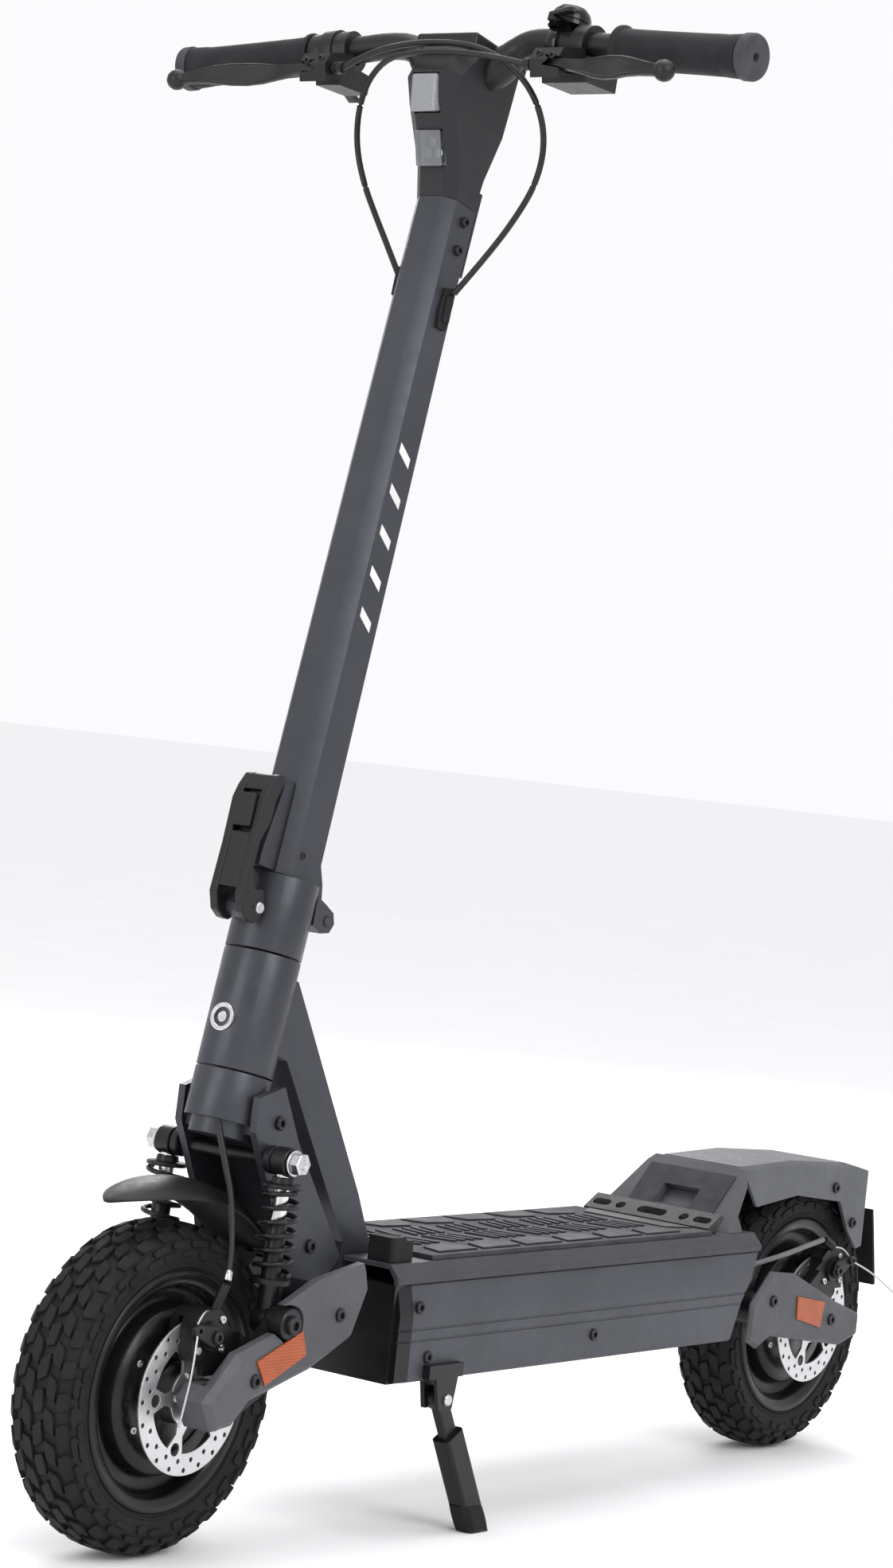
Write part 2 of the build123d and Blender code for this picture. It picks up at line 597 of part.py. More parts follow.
def stem_section(corners, height, inset):
    """Octagonal stem section, shrunk by the wall for the inside."""
    with BuildSketch(column_across(height)) as section:
        with BuildLine():
            Polyline(*corners, close=True)
        make_face()
        if inset:
            offset(amount=-inset, mode=Mode.REPLACE)
    return section.sketch


with BuildPart() as stem_tube:
    loft(sections=[stem_section(STEM_FOOT, STEM_H[0], 0), stem_section(STEM_HEAD, STEM_H[1], 0)])
    loft(sections=[stem_section(STEM_FOOT, STEM_H[0] + 30, STEM_WALL),
                   stem_section(STEM_HEAD, STEM_H[1], STEM_WALL)], mode=Mode.SUBTRACT)
    add(slab(column_side, STEM_LUG, -11.5, 11.5))
    add(rod(column_side, FOLD_PIN, 7.0, -11.5, 11.5))
    add(rod(column_side, FOLD_PIN, 4.05, -12, 12), mode=Mode.SUBTRACT)
    add(slab(column_side, LATCH_PLATE, -11, 11))
stem_tube.part.label = "stem_tube"
export_step(stem_tube.part, "parts/stem_tube.step")

# ---------------------------------------------------------------- cockpit
BAR_CENTRE = (14.0, 0.0, 1192.0)
bar_root = column_point(*BAR_ROOT)
bar_end = column_point(*BAR_END)
bar_dir = (bar_end - bar_root).normalized()
HALF_BAR = (bar_end - bar_root).length
WING_R = 15.0
CAP_T = 10.0


def across_bar(distance):
    """Plane across the left half of the bar, a distance outward from its root."""
    return Plane(origin=bar_root + bar_dir * distance, z_dir=bar_dir)


def bar_ring(outer, inner, start, stop):
    """A ring around the left half of the bar."""
    with BuildPart() as ring:
        with BuildSketch(across_bar(start)):
            Circle(outer)
            if inner:
                Circle(inner, mode=Mode.SUBTRACT)
        extrude(amount=stop - start)
    return ring.part


with BuildPart() as handlebar:
    inner_dir = bar_root - column_point(*BAR_CENTRE)
    with BuildSketch(Plane(origin=column_point(*BAR_CENTRE), z_dir=inner_dir)):
        Circle(BAR_R)
    extrude(amount=inner_dir.length)
    with BuildSketch(Plane(origin=bar_root - inner_dir.normalized() * 24, z_dir=inner_dir)):
        Circle(WING_R - 3)
    with BuildSketch(Plane(origin=bar_root, z_dir=inner_dir)):
        Circle(WING_R)
    loft()
    add(Sphere(WING_R, mode=Mode.PRIVATE).moved(Location(bar_root)))
    with BuildSketch(across_bar(0)):
        Circle(WING_R)
    with BuildSketch(across_bar(42)):
        Circle(BAR_R + 1)
    loft()
    add(bar_ring(BAR_R, 0, 40, HALF_BAR - CAP_T))
    mirror(about=Plane.XZ)
handlebar.part.label = "handlebar"
export_step(handlebar.part, "parts/handlebar.step")

GRIP_START = 92.0
with BuildPart() as grips:
    add(bar_ring(GRIP_R, BAR_R + 0.1, GRIP_START, HALF_BAR - CAP_T - 0.2))
    mirror(about=Plane.XZ)
grips.part.label = "grips"
export_step(grips.part, "parts/grips.step")

CAP_R = 18.5
with BuildPart() as bar_end_caps:
    add(bar_ring(CAP_R, 2.5, HALF_BAR - CAP_T, HALF_BAR))
    mirror(about=Plane.XZ)
bar_end_caps.part.label = "bar_end_caps"
export_step(bar_end_caps.part, "parts/bar_end_caps.step")


def octagon(rear, front, half, height):
    """Housing section: a rectangle with chamfered front and rear corners."""
    cut = half * 0.45
    with BuildSketch(column_across(height)) as section:
        with BuildLine():
            Polyline((front, half - cut), (front - cut, half), (rear + cut, half), (rear, half - cut),
                     (rear, cut - half), (rear + cut, -half), (front - cut, -half), (front, cut - half),
                     close=True)
        make_face()
    return section.sketch


UPPER_LIGHT = [(46, 1151), (58.5, 1146), (67, 1177), (55, 1182)]
LOWER_LIGHT = [(22, 1116), (33, 1111), (46, 1137), (35, 1142)]
LIGHT_HALF = 13.0
REAR_TAB = [(-28, 1040), (-23, 1040), (-23, 1092), (-20, 1094), (-20, 1112), (-29, 1112)]
with BuildPart() as cockpit_housing:
    loft(sections=[octagon(-22, 21, 20, STEM_H[1] + 0.3), octagon(-24, 30, 21, 1118)], ruled=True)
    loft(sections=[octagon(-24, 30, 21, 1118), octagon(-33, 56, 23, 1158)], ruled=True)
    loft(sections=[octagon(-33, 56, 23, 1158), octagon(-31, 64, 27, 1180)], ruled=True)
    loft(sections=[octagon(-31, 64, 27, 1180), octagon(-28, 52, 32, 1206)], ruled=True)
    add(slab(column_side, REAR_TAB, -12, 12))
    add(slab(column_side, UPPER_LIGHT, -LIGHT_HALF, LIGHT_HALF), mode=Mode.SUBTRACT)
    add(slab(column_side, LOWER_LIGHT, -LIGHT_HALF, LIGHT_HALF), mode=Mode.SUBTRACT)
    add(handlebar.part, mode=Mode.SUBTRACT)
cockpit_housing.part.label = "cockpit_housing"
export_step(cockpit_housing.part, "parts/cockpit_housing.step")

with BuildPart() as headlights:
    add(slab(column_side, UPPER_LIGHT, -LIGHT_HALF + 0.1, LIGHT_HALF - 0.1))
    add(slab(column_side, LOWER_LIGHT, -LIGHT_HALF + 0.1, LIGHT_HALF - 0.1))
headlights.part.label = "headlights"
export_step(headlights.part, "parts/headlights.step")

BUTTON_SPOT = (-4.0, 0.0)
BUTTON_R = 6.0
DISPLAY_TOP = 1220.0
with BuildPart() as display_panel:
    with BuildSketch(column_across(1206.3)):
        with BuildLine():
            Polyline((50, -30), (50, 30), (-18, 36), (-18, -36), close=True)
        make_face()
    extrude(amount=DISPLAY_TOP - 1206.3)
    fillet(display_panel.edges().filter_by(GeomType.LINE).group_by(SortBy.LENGTH)[0], radius=3)
    with BuildSketch(column_across(DISPLAY_TOP - 4)):
        with Locations(BUTTON_SPOT):
            Circle(BUTTON_R + 0.3)
    extrude(amount=6, mode=Mode.SUBTRACT)
    add(handlebar.part, mode=Mode.SUBTRACT)
display_panel.part.label = "display_panel"
export_step(display_panel.part, "parts/display_panel.step")

with BuildPart() as power_button:
    with BuildSketch(column_across(DISPLAY_TOP - 2.2)):
        with Locations(BUTTON_SPOT):
            Circle(BUTTON_R)
    extrude(amount=3.2)
power_button.part.label = "power_button"
export_step(power_button.part, "parts/power_button.step")

# brake levers in clamps, each turning about a pin that stands along the column
LEVER_ROOT = (56.0, 116.0, 1186.0)
LEVER_BALL = (83.0, 240.0, 1167.0)
BALL_R = 8.5
lever_root = column_point(*LEVER_ROOT)
lever_run = column_point(*LEVER_BALL) - lever_root
lever_dir = lever_run.normalized()
lever_across = Vector(*RAKE_DIR).cross(lever_dir)
lever_up = lever_dir.cross(lever_across).normalized()
LEVER_HALF_T = 4.0


def lever_plane(height):
    """Plane of the left brake lever: x towards its ball, y towards the rider."""
    return Plane(origin=lever_root + lever_up * height, x_dir=lever_dir, z_dir=lever_up)


LEVER_OUTLINE = [(-7, -6), (12, -8), (36, -4), (62, -6), (92, -9), (122, -4), (122, 4), (92, 0), (62, 5),
                 (36, 7), (12, 6), (-7, 6)]
with BuildPart() as brake_lever_left:
    with BuildSketch(lever_plane(-LEVER_HALF_T)):
        with BuildLine():
            Polyline(*LEVER_OUTLINE, close=True)
        make_face()
        Circle(3.05, mode=Mode.SUBTRACT)
    extrude(amount=2 * LEVER_HALF_T)
    add(Sphere(BALL_R, mode=Mode.PRIVATE).moved(Location(lever_root + lever_run)))
brake_lever_left.part.label = "brake_lever_left"
export_step(brake_lever_left.part, "parts/brake_lever_left.step")

with BuildPart() as brake_lever_right:
    add(brake_lever_left.part)
    mirror(about=Plane.XZ, mode=Mode.REPLACE)
brake_lever_right.part.label = "brake_lever_right"
export_step(brake_lever_right.part, "parts/brake_lever_right.step")

PERCH = [(30, 1192), (62, 1173), (68, 1186), (64, 1197), (36, 1208)]
LEFT_POD = [(-10, 1190), (31, 1182), (38, 1196), (34, 1203), (-8, 1207)]
RIGHT_POD = [(-6, 1190), (32, 1183), (38, 1196), (34, 1203), (-6, 1206)]
LEVER_SWEEP = [(-13, -10), (140, -20), (140, 50), (40, 22), (-13, 10)]


def perch():
    """Left lever clamp: ring on the bar, slotted block for the lever, its pin and cable barrel."""
    with BuildPart() as clamp:
        add(bar_ring(17, 0, 53, 66))
        add(slab(column_side, PERCH, 101, 128))
        with BuildSketch(lever_plane(-LEVER_HALF_T - 0.4)):
            with BuildLine():
                Polyline(*LEVER_SWEEP, close=True)
            make_face()
        extrude(amount=2 * LEVER_HALF_T + 0.8, mode=Mode.SUBTRACT)
        with BuildSketch(lever_plane(-8)):
            Circle(3)
        extrude(amount=16)
        add(rod(column_side, (57, 1186.5), 4, 92, 102))
        add(bar_ring(BAR_R, 0, 40, 80), mode=Mode.SUBTRACT)
    return clamp.part


perch_shape = perch()
with BuildPart() as lever_clamps:
    add(perch_shape)
    mirror(about=Plane.XZ)
    add(slab(column_side, LEFT_POD, 90, 132))
    add(slab(column_side, RIGHT_POD, -136, -112))
    add(bar_ring(19, BAR_R, 66, 78).mirror(Plane.XZ))
    add(bar_ring(BAR_R, 0, 30, 100), mode=Mode.SUBTRACT)
    add(bar_ring(BAR_R, 0, 30, 100).mirror(Plane.XZ), mode=Mode.SUBTRACT)
lever_clamps.part.label = "lever_clamps"
export_step(lever_clamps.part, "parts/lever_clamps.step")

PADDLE = [(-30, 1196), (-27, 1193), (8, 1205), (8, 1210)]
with BuildPart() as throttle_paddle:
    add(bar_ring(17, BAR_R + 0.3, 78.6, 90).mirror(Plane.XZ))
    add(slab(column_side, PADDLE, -147, -138))
    add(bar_ring(BAR_R + 0.3, 0, 70, 95).mirror(Plane.XZ), mode=Mode.SUBTRACT)
throttle_paddle.part.label = "throttle_paddle"
export_step(throttle_paddle.part, "parts/throttle_paddle.step")

BELL = (20.0, 95.0)
BELL_BASE = 1232.0
BELL_R = 17.0
with BuildPart() as bell_body:
    with BuildSketch(column_across(BELL_BASE - 8)):
        with Locations(BELL):
            Circle(7)
    extrude(amount=8)
    with BuildSketch(column_across(BELL_BASE)):
        with Locations(BELL):
            Circle(BELL_R)
    extrude(amount=7)
    with BuildSketch(column_across(BELL_BASE + 7)):
        with Locations(BELL):
            Circle(BELL_R)
    with BuildSketch(column_across(BELL_BASE + 19)):
        with Locations(BELL):
            Circle(9)
    loft()
    with BuildSketch(column_across(BELL_BASE - 3)):
        with Locations((32, BELL[1])):
            Rectangle(28, 8)
    extrude(amount=3.6)
    add(bar_ring(14, 0, 26, 36))
    add(handlebar.part, mode=Mode.SUBTRACT)
bell_body.part.label = "bell_body"
export_step(bell_body.part, "parts/bell_body.step")

STRIKER = (42.0, 95.0)
with BuildPart() as bell_lever:
    with BuildSketch(column_across(BELL_BASE + 1)):
        with Locations(STRIKER):
            Circle(4)
        with BuildLine():
            Polyline((39, 95), (45, 95), (52, 117), (46, 117), close=True)
        make_face()
    extrude(amount=4)
bell_lever.part.label = "bell_lever"
export_step(bell_lever.part, "parts/bell_lever.step")

# brake cables: each crosses in front of the display and enters the other side of the stem
LEFT_CABLE = [(57, 91, 1186.5), (64, 66, 1190), (69, 30, 1193), (68, -8, 1194), (60, -44, 1194), (47, -70, 1182),
              (34, -84, 1161), (22, -87, 1134), (13, -78, 1106), (8, -62, 1080), (7, -42, 1053), (8, -23, 1028)]
RIGHT_CABLE = [(57, -91, 1186.5), (61, -66, 1197), (62, -30, 1204), (60, 6, 1206), (55, 42, 1203), (45, 70, 1190),
               (33, 90, 1168), (20, 98, 1140), (8, 91, 1110), (0, 73, 1082), (-4, 50, 1050), (-4, 27, 1018)]
GROMMET = [(-9, 990), (1, 990), (2, 1018), (-8, 1022)]
STEM_BOLT_H = (1054.0, 1078.0)


def column_points(points):
    """Route points given forward, left and up along the column."""
    return [column_point(*point) for point in points]


with BuildPart() as cockpit_cables:
    add(tube(column_points(LEFT_CABLE), CABLE_R))
    add(tube(column_points(RIGHT_CABLE), CABLE_R))
    add(slab(column_side, GROMMET, 20.8, 26.5))
    add(slab(column_side, [(3, 1012), (12, 1012), (13, 1034), (4, 1036)], -23.5, -20.8))
    for bolt_height in STEM_BOLT_H:
        add(rod(column_side, (-3, bolt_height), 3.6, 20.6, 23.5))
cockpit_cables.part.label = "cockpit_cables"
export_step(cockpit_cables.part, "parts/cockpit_cables.step")

# ---------------------------------------------------------------- deck and frame
SHELL = [(176, DECK_TOP), (720, DECK_TOP), (720, DECK_LOW), (213, DECK_LOW), (199, 163)]
SHELL_INSIDE = [(181, DECK_TOP + 4), (716, DECK_TOP + 4), (716, DECK_LOW + WALL), (216, DECK_LOW + WALL),
                (203, 164)]
REAR_LUG = [(189, 186), (160, 170), (140, 166), (130, 156), (130, 142), (146, 134), (212, 134), (202, 160)]
STAND_EAR = [(642, 126.7), (668, 126.7), (663, 104), (645, 104)]
STAND_PLATE = [(634, 141), (680, 141), (680, 130), (634, 130)]
STAND_OUTER_EAR = [(640, 131), (670, 131), (663, 104), (645, 104)]
with BuildPart() as deck_shell:
    add(slab(side, SHELL, -DECK_HALF, DECK_HALF))
    add(slab(side, SHELL_INSIDE, WALL - DECK_HALF, DECK_HALF - WALL), mode=Mode.SUBTRACT)
    for shape in both_sides(slab(side, REAR_LUG, LEG_Y, LEG_Y + LEG_T)):
        add(shape)
    for shape in both_sides(rod(side, REAR_PIVOT, AXLE_R, LEG_Y, ARM_Y + ARM_T)):
        add(shape)
    add(slab(side, STAND_EAR, 75.5, 79.5))
    add(slab(side, STAND_PLATE, 86.2, 93.2))
    add(slab(side, STAND_OUTER_EAR, 90.2, 93.2))
    add(rod(side, (STAND_PIVOT[0], STAND_PIVOT[2]), 4, 75.5, 95))
deck_shell.part.label = "deck_shell"
export_step(deck_shell.part, "parts/deck_shell.step")

PANEL = [(170, 205.5), (716, 205.5), (716, 128), (213, 128), (199, 163)]
PANEL_Y = (DECK_HALF + 0.3, 86.0)
with BuildPart() as side_panels:
    add(slab(side, PANEL, *PANEL_Y))
    outer_face = side_panels.faces().sort_by(Axis.Y)[-1]
    chamfer(outer_face.edges().sort_by(Axis.Z)[-1], length=3.5, length2=5)
    for groove_z in (168, 176):
        groove = [(212, groove_z), (706, groove_z), (706, groove_z + 1.6), (212, groove_z + 1.6)]
        add(slab(side, groove, PANEL_Y[1] - 0.8, PANEL_Y[1] + 1), mode=Mode.SUBTRACT)
    mirror(about=Plane.XZ)
side_panels.part.label = "side_panels"
export_step(side_panels.part, "parts/side_panels.step")

COVER_START = 170.0
COVER_END = 722.0
COVER_SECTION = [(-84, 206.5), (-84, 212), (-75, COVER_TOP), (75, COVER_TOP), (84, 212), (84, 206.5),
                 (79, 206.5), (79, 210), (73, 218), (-73, 218), (-79, 210), (-79, 206.5)]
with BuildPart() as deck_cover:
    with BuildSketch(Plane(origin=(REAR_X + COVER_START, 0, 0), x_dir=(0, 1, 0), z_dir=(1, 0, 0))):
        with BuildLine():
            Polyline(*COVER_SECTION, close=True)
        make_face()
    extrude(amount=COVER_END - COVER_START)
    add(slab(side, [(681, 200), (681, 230), (730, 230), (730, 200)], -27, 27), mode=Mode.SUBTRACT)
deck_cover.part.label = "deck_cover"
export_step(deck_cover.part, "parts/deck_cover.step")

MAT_START = 241.0
MAT_END = 664.0
MAT_TOP = 226.0
INSERT = [(205.4, 227.7), (163.4, 267.8), (164.3, 268.8), (206.3, 228.7)]
RECESS = [(212, 236), (212, 253), (172, 253), (172, 236)]
with BuildPart() as deck_mat:
    mat_outline = [(MAT_START, COVER_TOP), (MAT_END, COVER_TOP), (MAT_END, MAT_TOP), (MAT_START, MAT_TOP)]
    add(slab(side, mat_outline, -73, 73))
    add(slab(side, INSERT, -46, 46))
    add(slab(side, RECESS, -19, 19), mode=Mode.SUBTRACT)
deck_mat.part.label = "deck_mat"
export_step(deck_mat.part, "parts/deck_mat.step")

KICK = [(211, COVER_TOP), (157, 273.5), (155, 275.5), (153.5, 275.5), (160.5, 259), (187, 235.5), (185.5, COVER_TOP)]
KICK_FRONT = [(-72, 221), (-70, 227), (-53, 270), (-47, 276.5), (47, 276.5), (53, 270), (70, 227), (72, 221)]
with BuildPart() as kick_plate:
    add(slab(side, KICK, -75, 75))
    with BuildSketch(Plane(origin=(REAR_X + 150, 0, 0), x_dir=(0, 1, 0), z_dir=(1, 0, 0))):
        with BuildLine():
            Polyline(*KICK_FRONT, close=True)
        make_face()
    extrude(amount=80, mode=Mode.INTERSECT)
    add(slab(side, RECESS, -19, 19), mode=Mode.SUBTRACT)
kick_plate.part.label = "kick_plate"
export_step(kick_plate.part, "parts/kick_plate.step")

BAR_PROFILE = [(224.5, COVER_TOP), (212, 236), (217, 238.5), (238, 227), (238, COVER_TOP)]
with BuildPart() as tail_hook_bar:
    add(slab(side, BAR_PROFILE, -67, 67))
    with BuildSketch(Plane(origin=(REAR_X + 228, 0, COVER_TOP - 1), x_dir=(0, 1, 0), z_dir=(0, 0, 1))):
        SlotOverall(30, 9)
        with Locations((-34, 0), (34, 0)):
            Circle(4.5)
        with Locations((-54, 0), (54, 0)):
            SlotOverall(18, 8)
    extrude(amount=20, mode=Mode.SUBTRACT)
tail_hook_bar.part.label = "tail_hook_bar"
export_step(tail_hook_bar.part, "parts/tail_hook_bar.step")

FENDER = [(120, 238), (152, 276), (60, 279), (-40, 274), (-88, 264), (-117, 234), (-124, 204), (-112, 199),
          (-72, 190), (-52, 209), (-33, 237), (48, 246)]
FENDER_INSIDE = [(160, 190), (136, 271.5), (60, 275), (-40, 270), (-85, 260.5), (-113, 232), (-120, 196),
                 (-110, 180), (0, 150)]
FENDER_FOOT = [(128, 273), (150, 275), (158, 257), (184, 234), (182, COVER_TOP), (176, COVER_TOP), (142, 262)]
FENDER_HALF = 45.0
FENDER_WALL = 3.5
FENDER_CORNER = [(-80, 46), (-132, 14), (-132, 46)]
FENDER_CORNER_IN = [(-76.2, 46), (-132, 11.7), (-132, 46)]


def tail_cutter(corner):
    """The two corners that the tail of the fender is rounded off by, in plan."""
    with BuildPart() as cutter:
        with BuildSketch(Plane(origin=(REAR_X, 0, 140))):
            with BuildLine():
                Polyline(*corner, close=True)
            make_face()
        extrude(amount=150)
        mirror(about=Plane.XZ)
    return cutter.part


with BuildPart() as fender_core:
    add(slab(side, FENDER_INSIDE, FENDER_WALL - FENDER_HALF, FENDER_HALF - FENDER_WALL))
    add(tail_cutter(FENDER_CORNER_IN), mode=Mode.SUBTRACT)
with BuildPart() as rear_fender:
    add(slab(side, FENDER, -FENDER_HALF, FENDER_HALF))
    roof_edges = rear_fender.edges().filter_by(Axis.Y, reverse=True).group_by(Axis.Z)[-1]
    chamfer(roof_edges, length=4)
    add(tail_cutter(FENDER_CORNER), mode=Mode.SUBTRACT)
    add(fender_core.part, mode=Mode.SUBTRACT)
    add(slab(side, FENDER_FOOT, -40, 40))
rear_fender.part.label = "rear_fender"
export_step(rear_fender.part, "parts/rear_fender.step")

FLAP = [(-119.6, 224), (-122.6, 224), (-128, 204), (-141, 150), (-137.5, 149), (-124.3, 203.5)]
with BuildPart() as mudflap:
    add(slab(side, FLAP, -32, 32))
mudflap.part.label = "mudflap"
export_step(mudflap.part, "parts/mudflap.step")

DOWNTUBE = [(683, 136), (683, 224), (707, 270), (813, 440), (838, 440), (838, 385), (818, 378), (722, 232),
            (722, 208), (715, 206), (715, 136)]
CROSS_BLOCK = [(676, 136), (715, 136), (715, 200), (676, 200)]
CROSS_BORE = [(680, 140), (711, 140), (711, 196), (680, 196)]
DOWNTUBE_BORE = [(687, 190), (687, 223), (710.4, 268), (796, 405), (806, 400), (812, 377), (718.7, 234.2),
                 (711, 210), (711, 190)]
BEARING_R = 25.0
BEARING_T = 10.0
with BuildPart() as main_frame:
    add(slab(side, DOWNTUBE, -25, 25))
    with BuildSketch(column_across(HEAD_H[0])):
        Circle(COLUMN_R)
    extrude(amount=HEAD_H[1] - HEAD_H[0])
    add(slab(side, CROSS_BLOCK, -70, 70))
    add(slab(side, DOWNTUBE_BORE, -21, 21), mode=Mode.SUBTRACT)
    add(slab(side, CROSS_BORE, -71, 71), mode=Mode.SUBTRACT)
    with BuildSketch(column_across(HEAD_H[0] - 5)):
        Circle(BEARING_R - 5)
    extrude(amount=HEAD_H[1] - HEAD_H[0] + 10, mode=Mode.SUBTRACT)
    with BuildSketch(column_across(HEAD_H[0])):
        Circle(BEARING_R)
    extrude(amount=BEARING_T, mode=Mode.SUBTRACT)
    with BuildSketch(column_across(HEAD_H[1] - BEARING_T)):
        Circle(BEARING_R)
    extrude(amount=BEARING_T, mode=Mode.SUBTRACT)
main_frame.part.label = "main_frame"
export_step(main_frame.part, "parts/main_frame.step")

with BuildPart() as headset_bearings:
    for ring_h in (HEAD_H[0], HEAD_H[1] - BEARING_T):
        with BuildSketch(column_across(ring_h)):
            Circle(BEARING_R)
            Circle(STEERER_R, mode=Mode.SUBTRACT)
        extrude(amount=BEARING_T)
headset_bearings.part.label = "headset_bearings"
export_step(headset_bearings.part, "parts/headset_bearings.step")

with BuildPart() as battery_pack:
    add(slab(side, [(232, 133), (560, 133), (560, 200), (232, 200)], -70, 70))
    fillet(battery_pack.edges().filter_by(Axis.X), radius=6)
battery_pack.part.label = "battery_pack"
export_step(battery_pack.part, "parts/battery_pack.step")

with BuildPart() as motor_controller:
    add(slab(side, [(575, 133), (668, 133), (668, 180), (575, 180)], -58, 58))
motor_controller.part.label = "motor_controller"
export_step(motor_controller.part, "parts/motor_controller.step")

PANEL_SCREWS = [(693, 188), (676, 147), (437, 149)]
FENDER_SCREWS = [(-20, 251), (-58, 216)]
SCREW_R = 3.6
SCREW_T = 1.2
with BuildPart() as deck_screws:
    for spot in PANEL_SCREWS:
        for shape in both_sides(rod(side, spot, SCREW_R, PANEL_Y[1], PANEL_Y[1] + SCREW_T)):
            add(shape)
    for spot in FENDER_SCREWS:
        for shape in both_sides(rod(side, spot, SCREW_R, FENDER_HALF, FENDER_HALF + SCREW_T)):
            add(shape)
deck_screws.part.label = "deck_screws"
export_step(deck_screws.part, "parts/deck_screws.step")

with BuildPart() as charge_cap:
    add(slab(side, [(688, 222.4), (718, 222.4), (718, 242), (702, 242), (699, 239), (688, 239)], 46, 72))
    fillet(charge_cap.edges().filter_by(Axis.Z), radius=4)
charge_cap.part.label = "charge_cap"
export_step(charge_cap.part, "parts/charge_cap.step")

# ---------------------------------------------------------------- kickstand
STAND_FOOT = (594.0, 90.0, 0.0)
SLEEVE_START = 0.27                  # share of the leg above its thick sleeve
stand_top = Vector(REAR_X + STAND_PIVOT[0], 85, STAND_PIVOT[2])
stand_run = Vector(REAR_X + STAND_FOOT[0], STAND_FOOT[1], STAND_FOOT[2]) - stand_top
with BuildPart() as kickstand:
    add(rod(side, (STAND_PIVOT[0], STAND_PIVOT[2]), 9.5, 80, 89.8))
    with BuildSketch(Plane(origin=stand_top, x_dir=(0, 1, 0), z_dir=stand_run)):
        RectangleRounded(8.4, 17, 3)
    extrude(amount=stand_run.length * 0.4)
    with BuildSketch(Plane(origin=stand_top + stand_run * SLEEVE_START, x_dir=(0, 1, 0), z_dir=stand_run)):
        RectangleRounded(17, 24, 4)
    extrude(amount=stand_run.length)
    split(bisect_by=Plane.XY, keep=Keep.TOP)
    add(rod(side, (STAND_PIVOT[0], STAND_PIVOT[2]), 4.05, 75, 95), mode=Mode.SUBTRACT)
kickstand.part.label = "kickstand"
export_step(kickstand.part, "parts/kickstand.step")
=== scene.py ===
import bpy
import bmesh
import random
from math import cos, pi, radians, sin, sqrt
from mathutils import Matrix, Vector


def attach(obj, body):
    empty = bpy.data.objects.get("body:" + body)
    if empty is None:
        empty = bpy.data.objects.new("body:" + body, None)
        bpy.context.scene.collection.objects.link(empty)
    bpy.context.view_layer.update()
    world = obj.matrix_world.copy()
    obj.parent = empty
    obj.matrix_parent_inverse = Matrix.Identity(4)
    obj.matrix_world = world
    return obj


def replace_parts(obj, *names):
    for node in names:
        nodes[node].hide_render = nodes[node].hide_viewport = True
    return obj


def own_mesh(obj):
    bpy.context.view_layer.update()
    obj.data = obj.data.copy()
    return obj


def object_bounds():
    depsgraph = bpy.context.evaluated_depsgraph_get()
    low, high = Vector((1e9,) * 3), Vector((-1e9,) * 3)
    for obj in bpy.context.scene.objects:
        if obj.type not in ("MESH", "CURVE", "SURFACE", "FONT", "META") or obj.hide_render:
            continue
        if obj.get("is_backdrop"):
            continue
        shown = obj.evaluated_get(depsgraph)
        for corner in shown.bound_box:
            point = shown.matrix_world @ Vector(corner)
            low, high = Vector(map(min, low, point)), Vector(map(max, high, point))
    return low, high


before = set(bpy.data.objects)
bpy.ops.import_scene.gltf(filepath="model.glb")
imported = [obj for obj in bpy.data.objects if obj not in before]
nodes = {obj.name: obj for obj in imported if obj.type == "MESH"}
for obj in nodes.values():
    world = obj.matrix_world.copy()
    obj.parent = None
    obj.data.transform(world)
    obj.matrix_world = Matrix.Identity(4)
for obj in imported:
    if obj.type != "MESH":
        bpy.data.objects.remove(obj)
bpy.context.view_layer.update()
random.seed(7)

# ------------------------------------------------------------------ frame of the scooter (metres)
REAR_X = -0.45325
WHEELBASE = 0.920
FRONT_X = REAR_X + WHEELBASE
AXLE_Z = 0.1275
RAKE = radians(12.6)
COLUMN_FOOT = Vector((0.47875, 0, 0))
COLUMN_UP = Vector((-sin(RAKE), 0, cos(RAKE)))
COLUMN_AHEAD = Vector((cos(RAKE), 0, sin(RAKE)))
LEFT = Vector((0, 1, 0))
UP = Vector((0, 0, 1))
MM = 0.001
EDGE_ANGLE = radians(28)                # sharper edges than this are rounded
WELD_GAP = 0.000004                     # joins the doubled corners of the CAD meshes
CAD_SEGMENTS = 3


def column_point(forward, left, up):
    """A point in the steering column's own directions, given in millimetres."""
    return COLUMN_FOOT + (COLUMN_AHEAD * forward + LEFT * left + COLUMN_UP * up) * MM


def side_point(ahead, left, up):
    """A point given in millimetres ahead of the rear axle, to the left and up."""
    return Vector((REAR_X + ahead * MM, left * MM, up * MM))


def mirrored(point):
    """The same point on the other side of the scooter."""
    return Vector((point.x, -point.y, point.z))


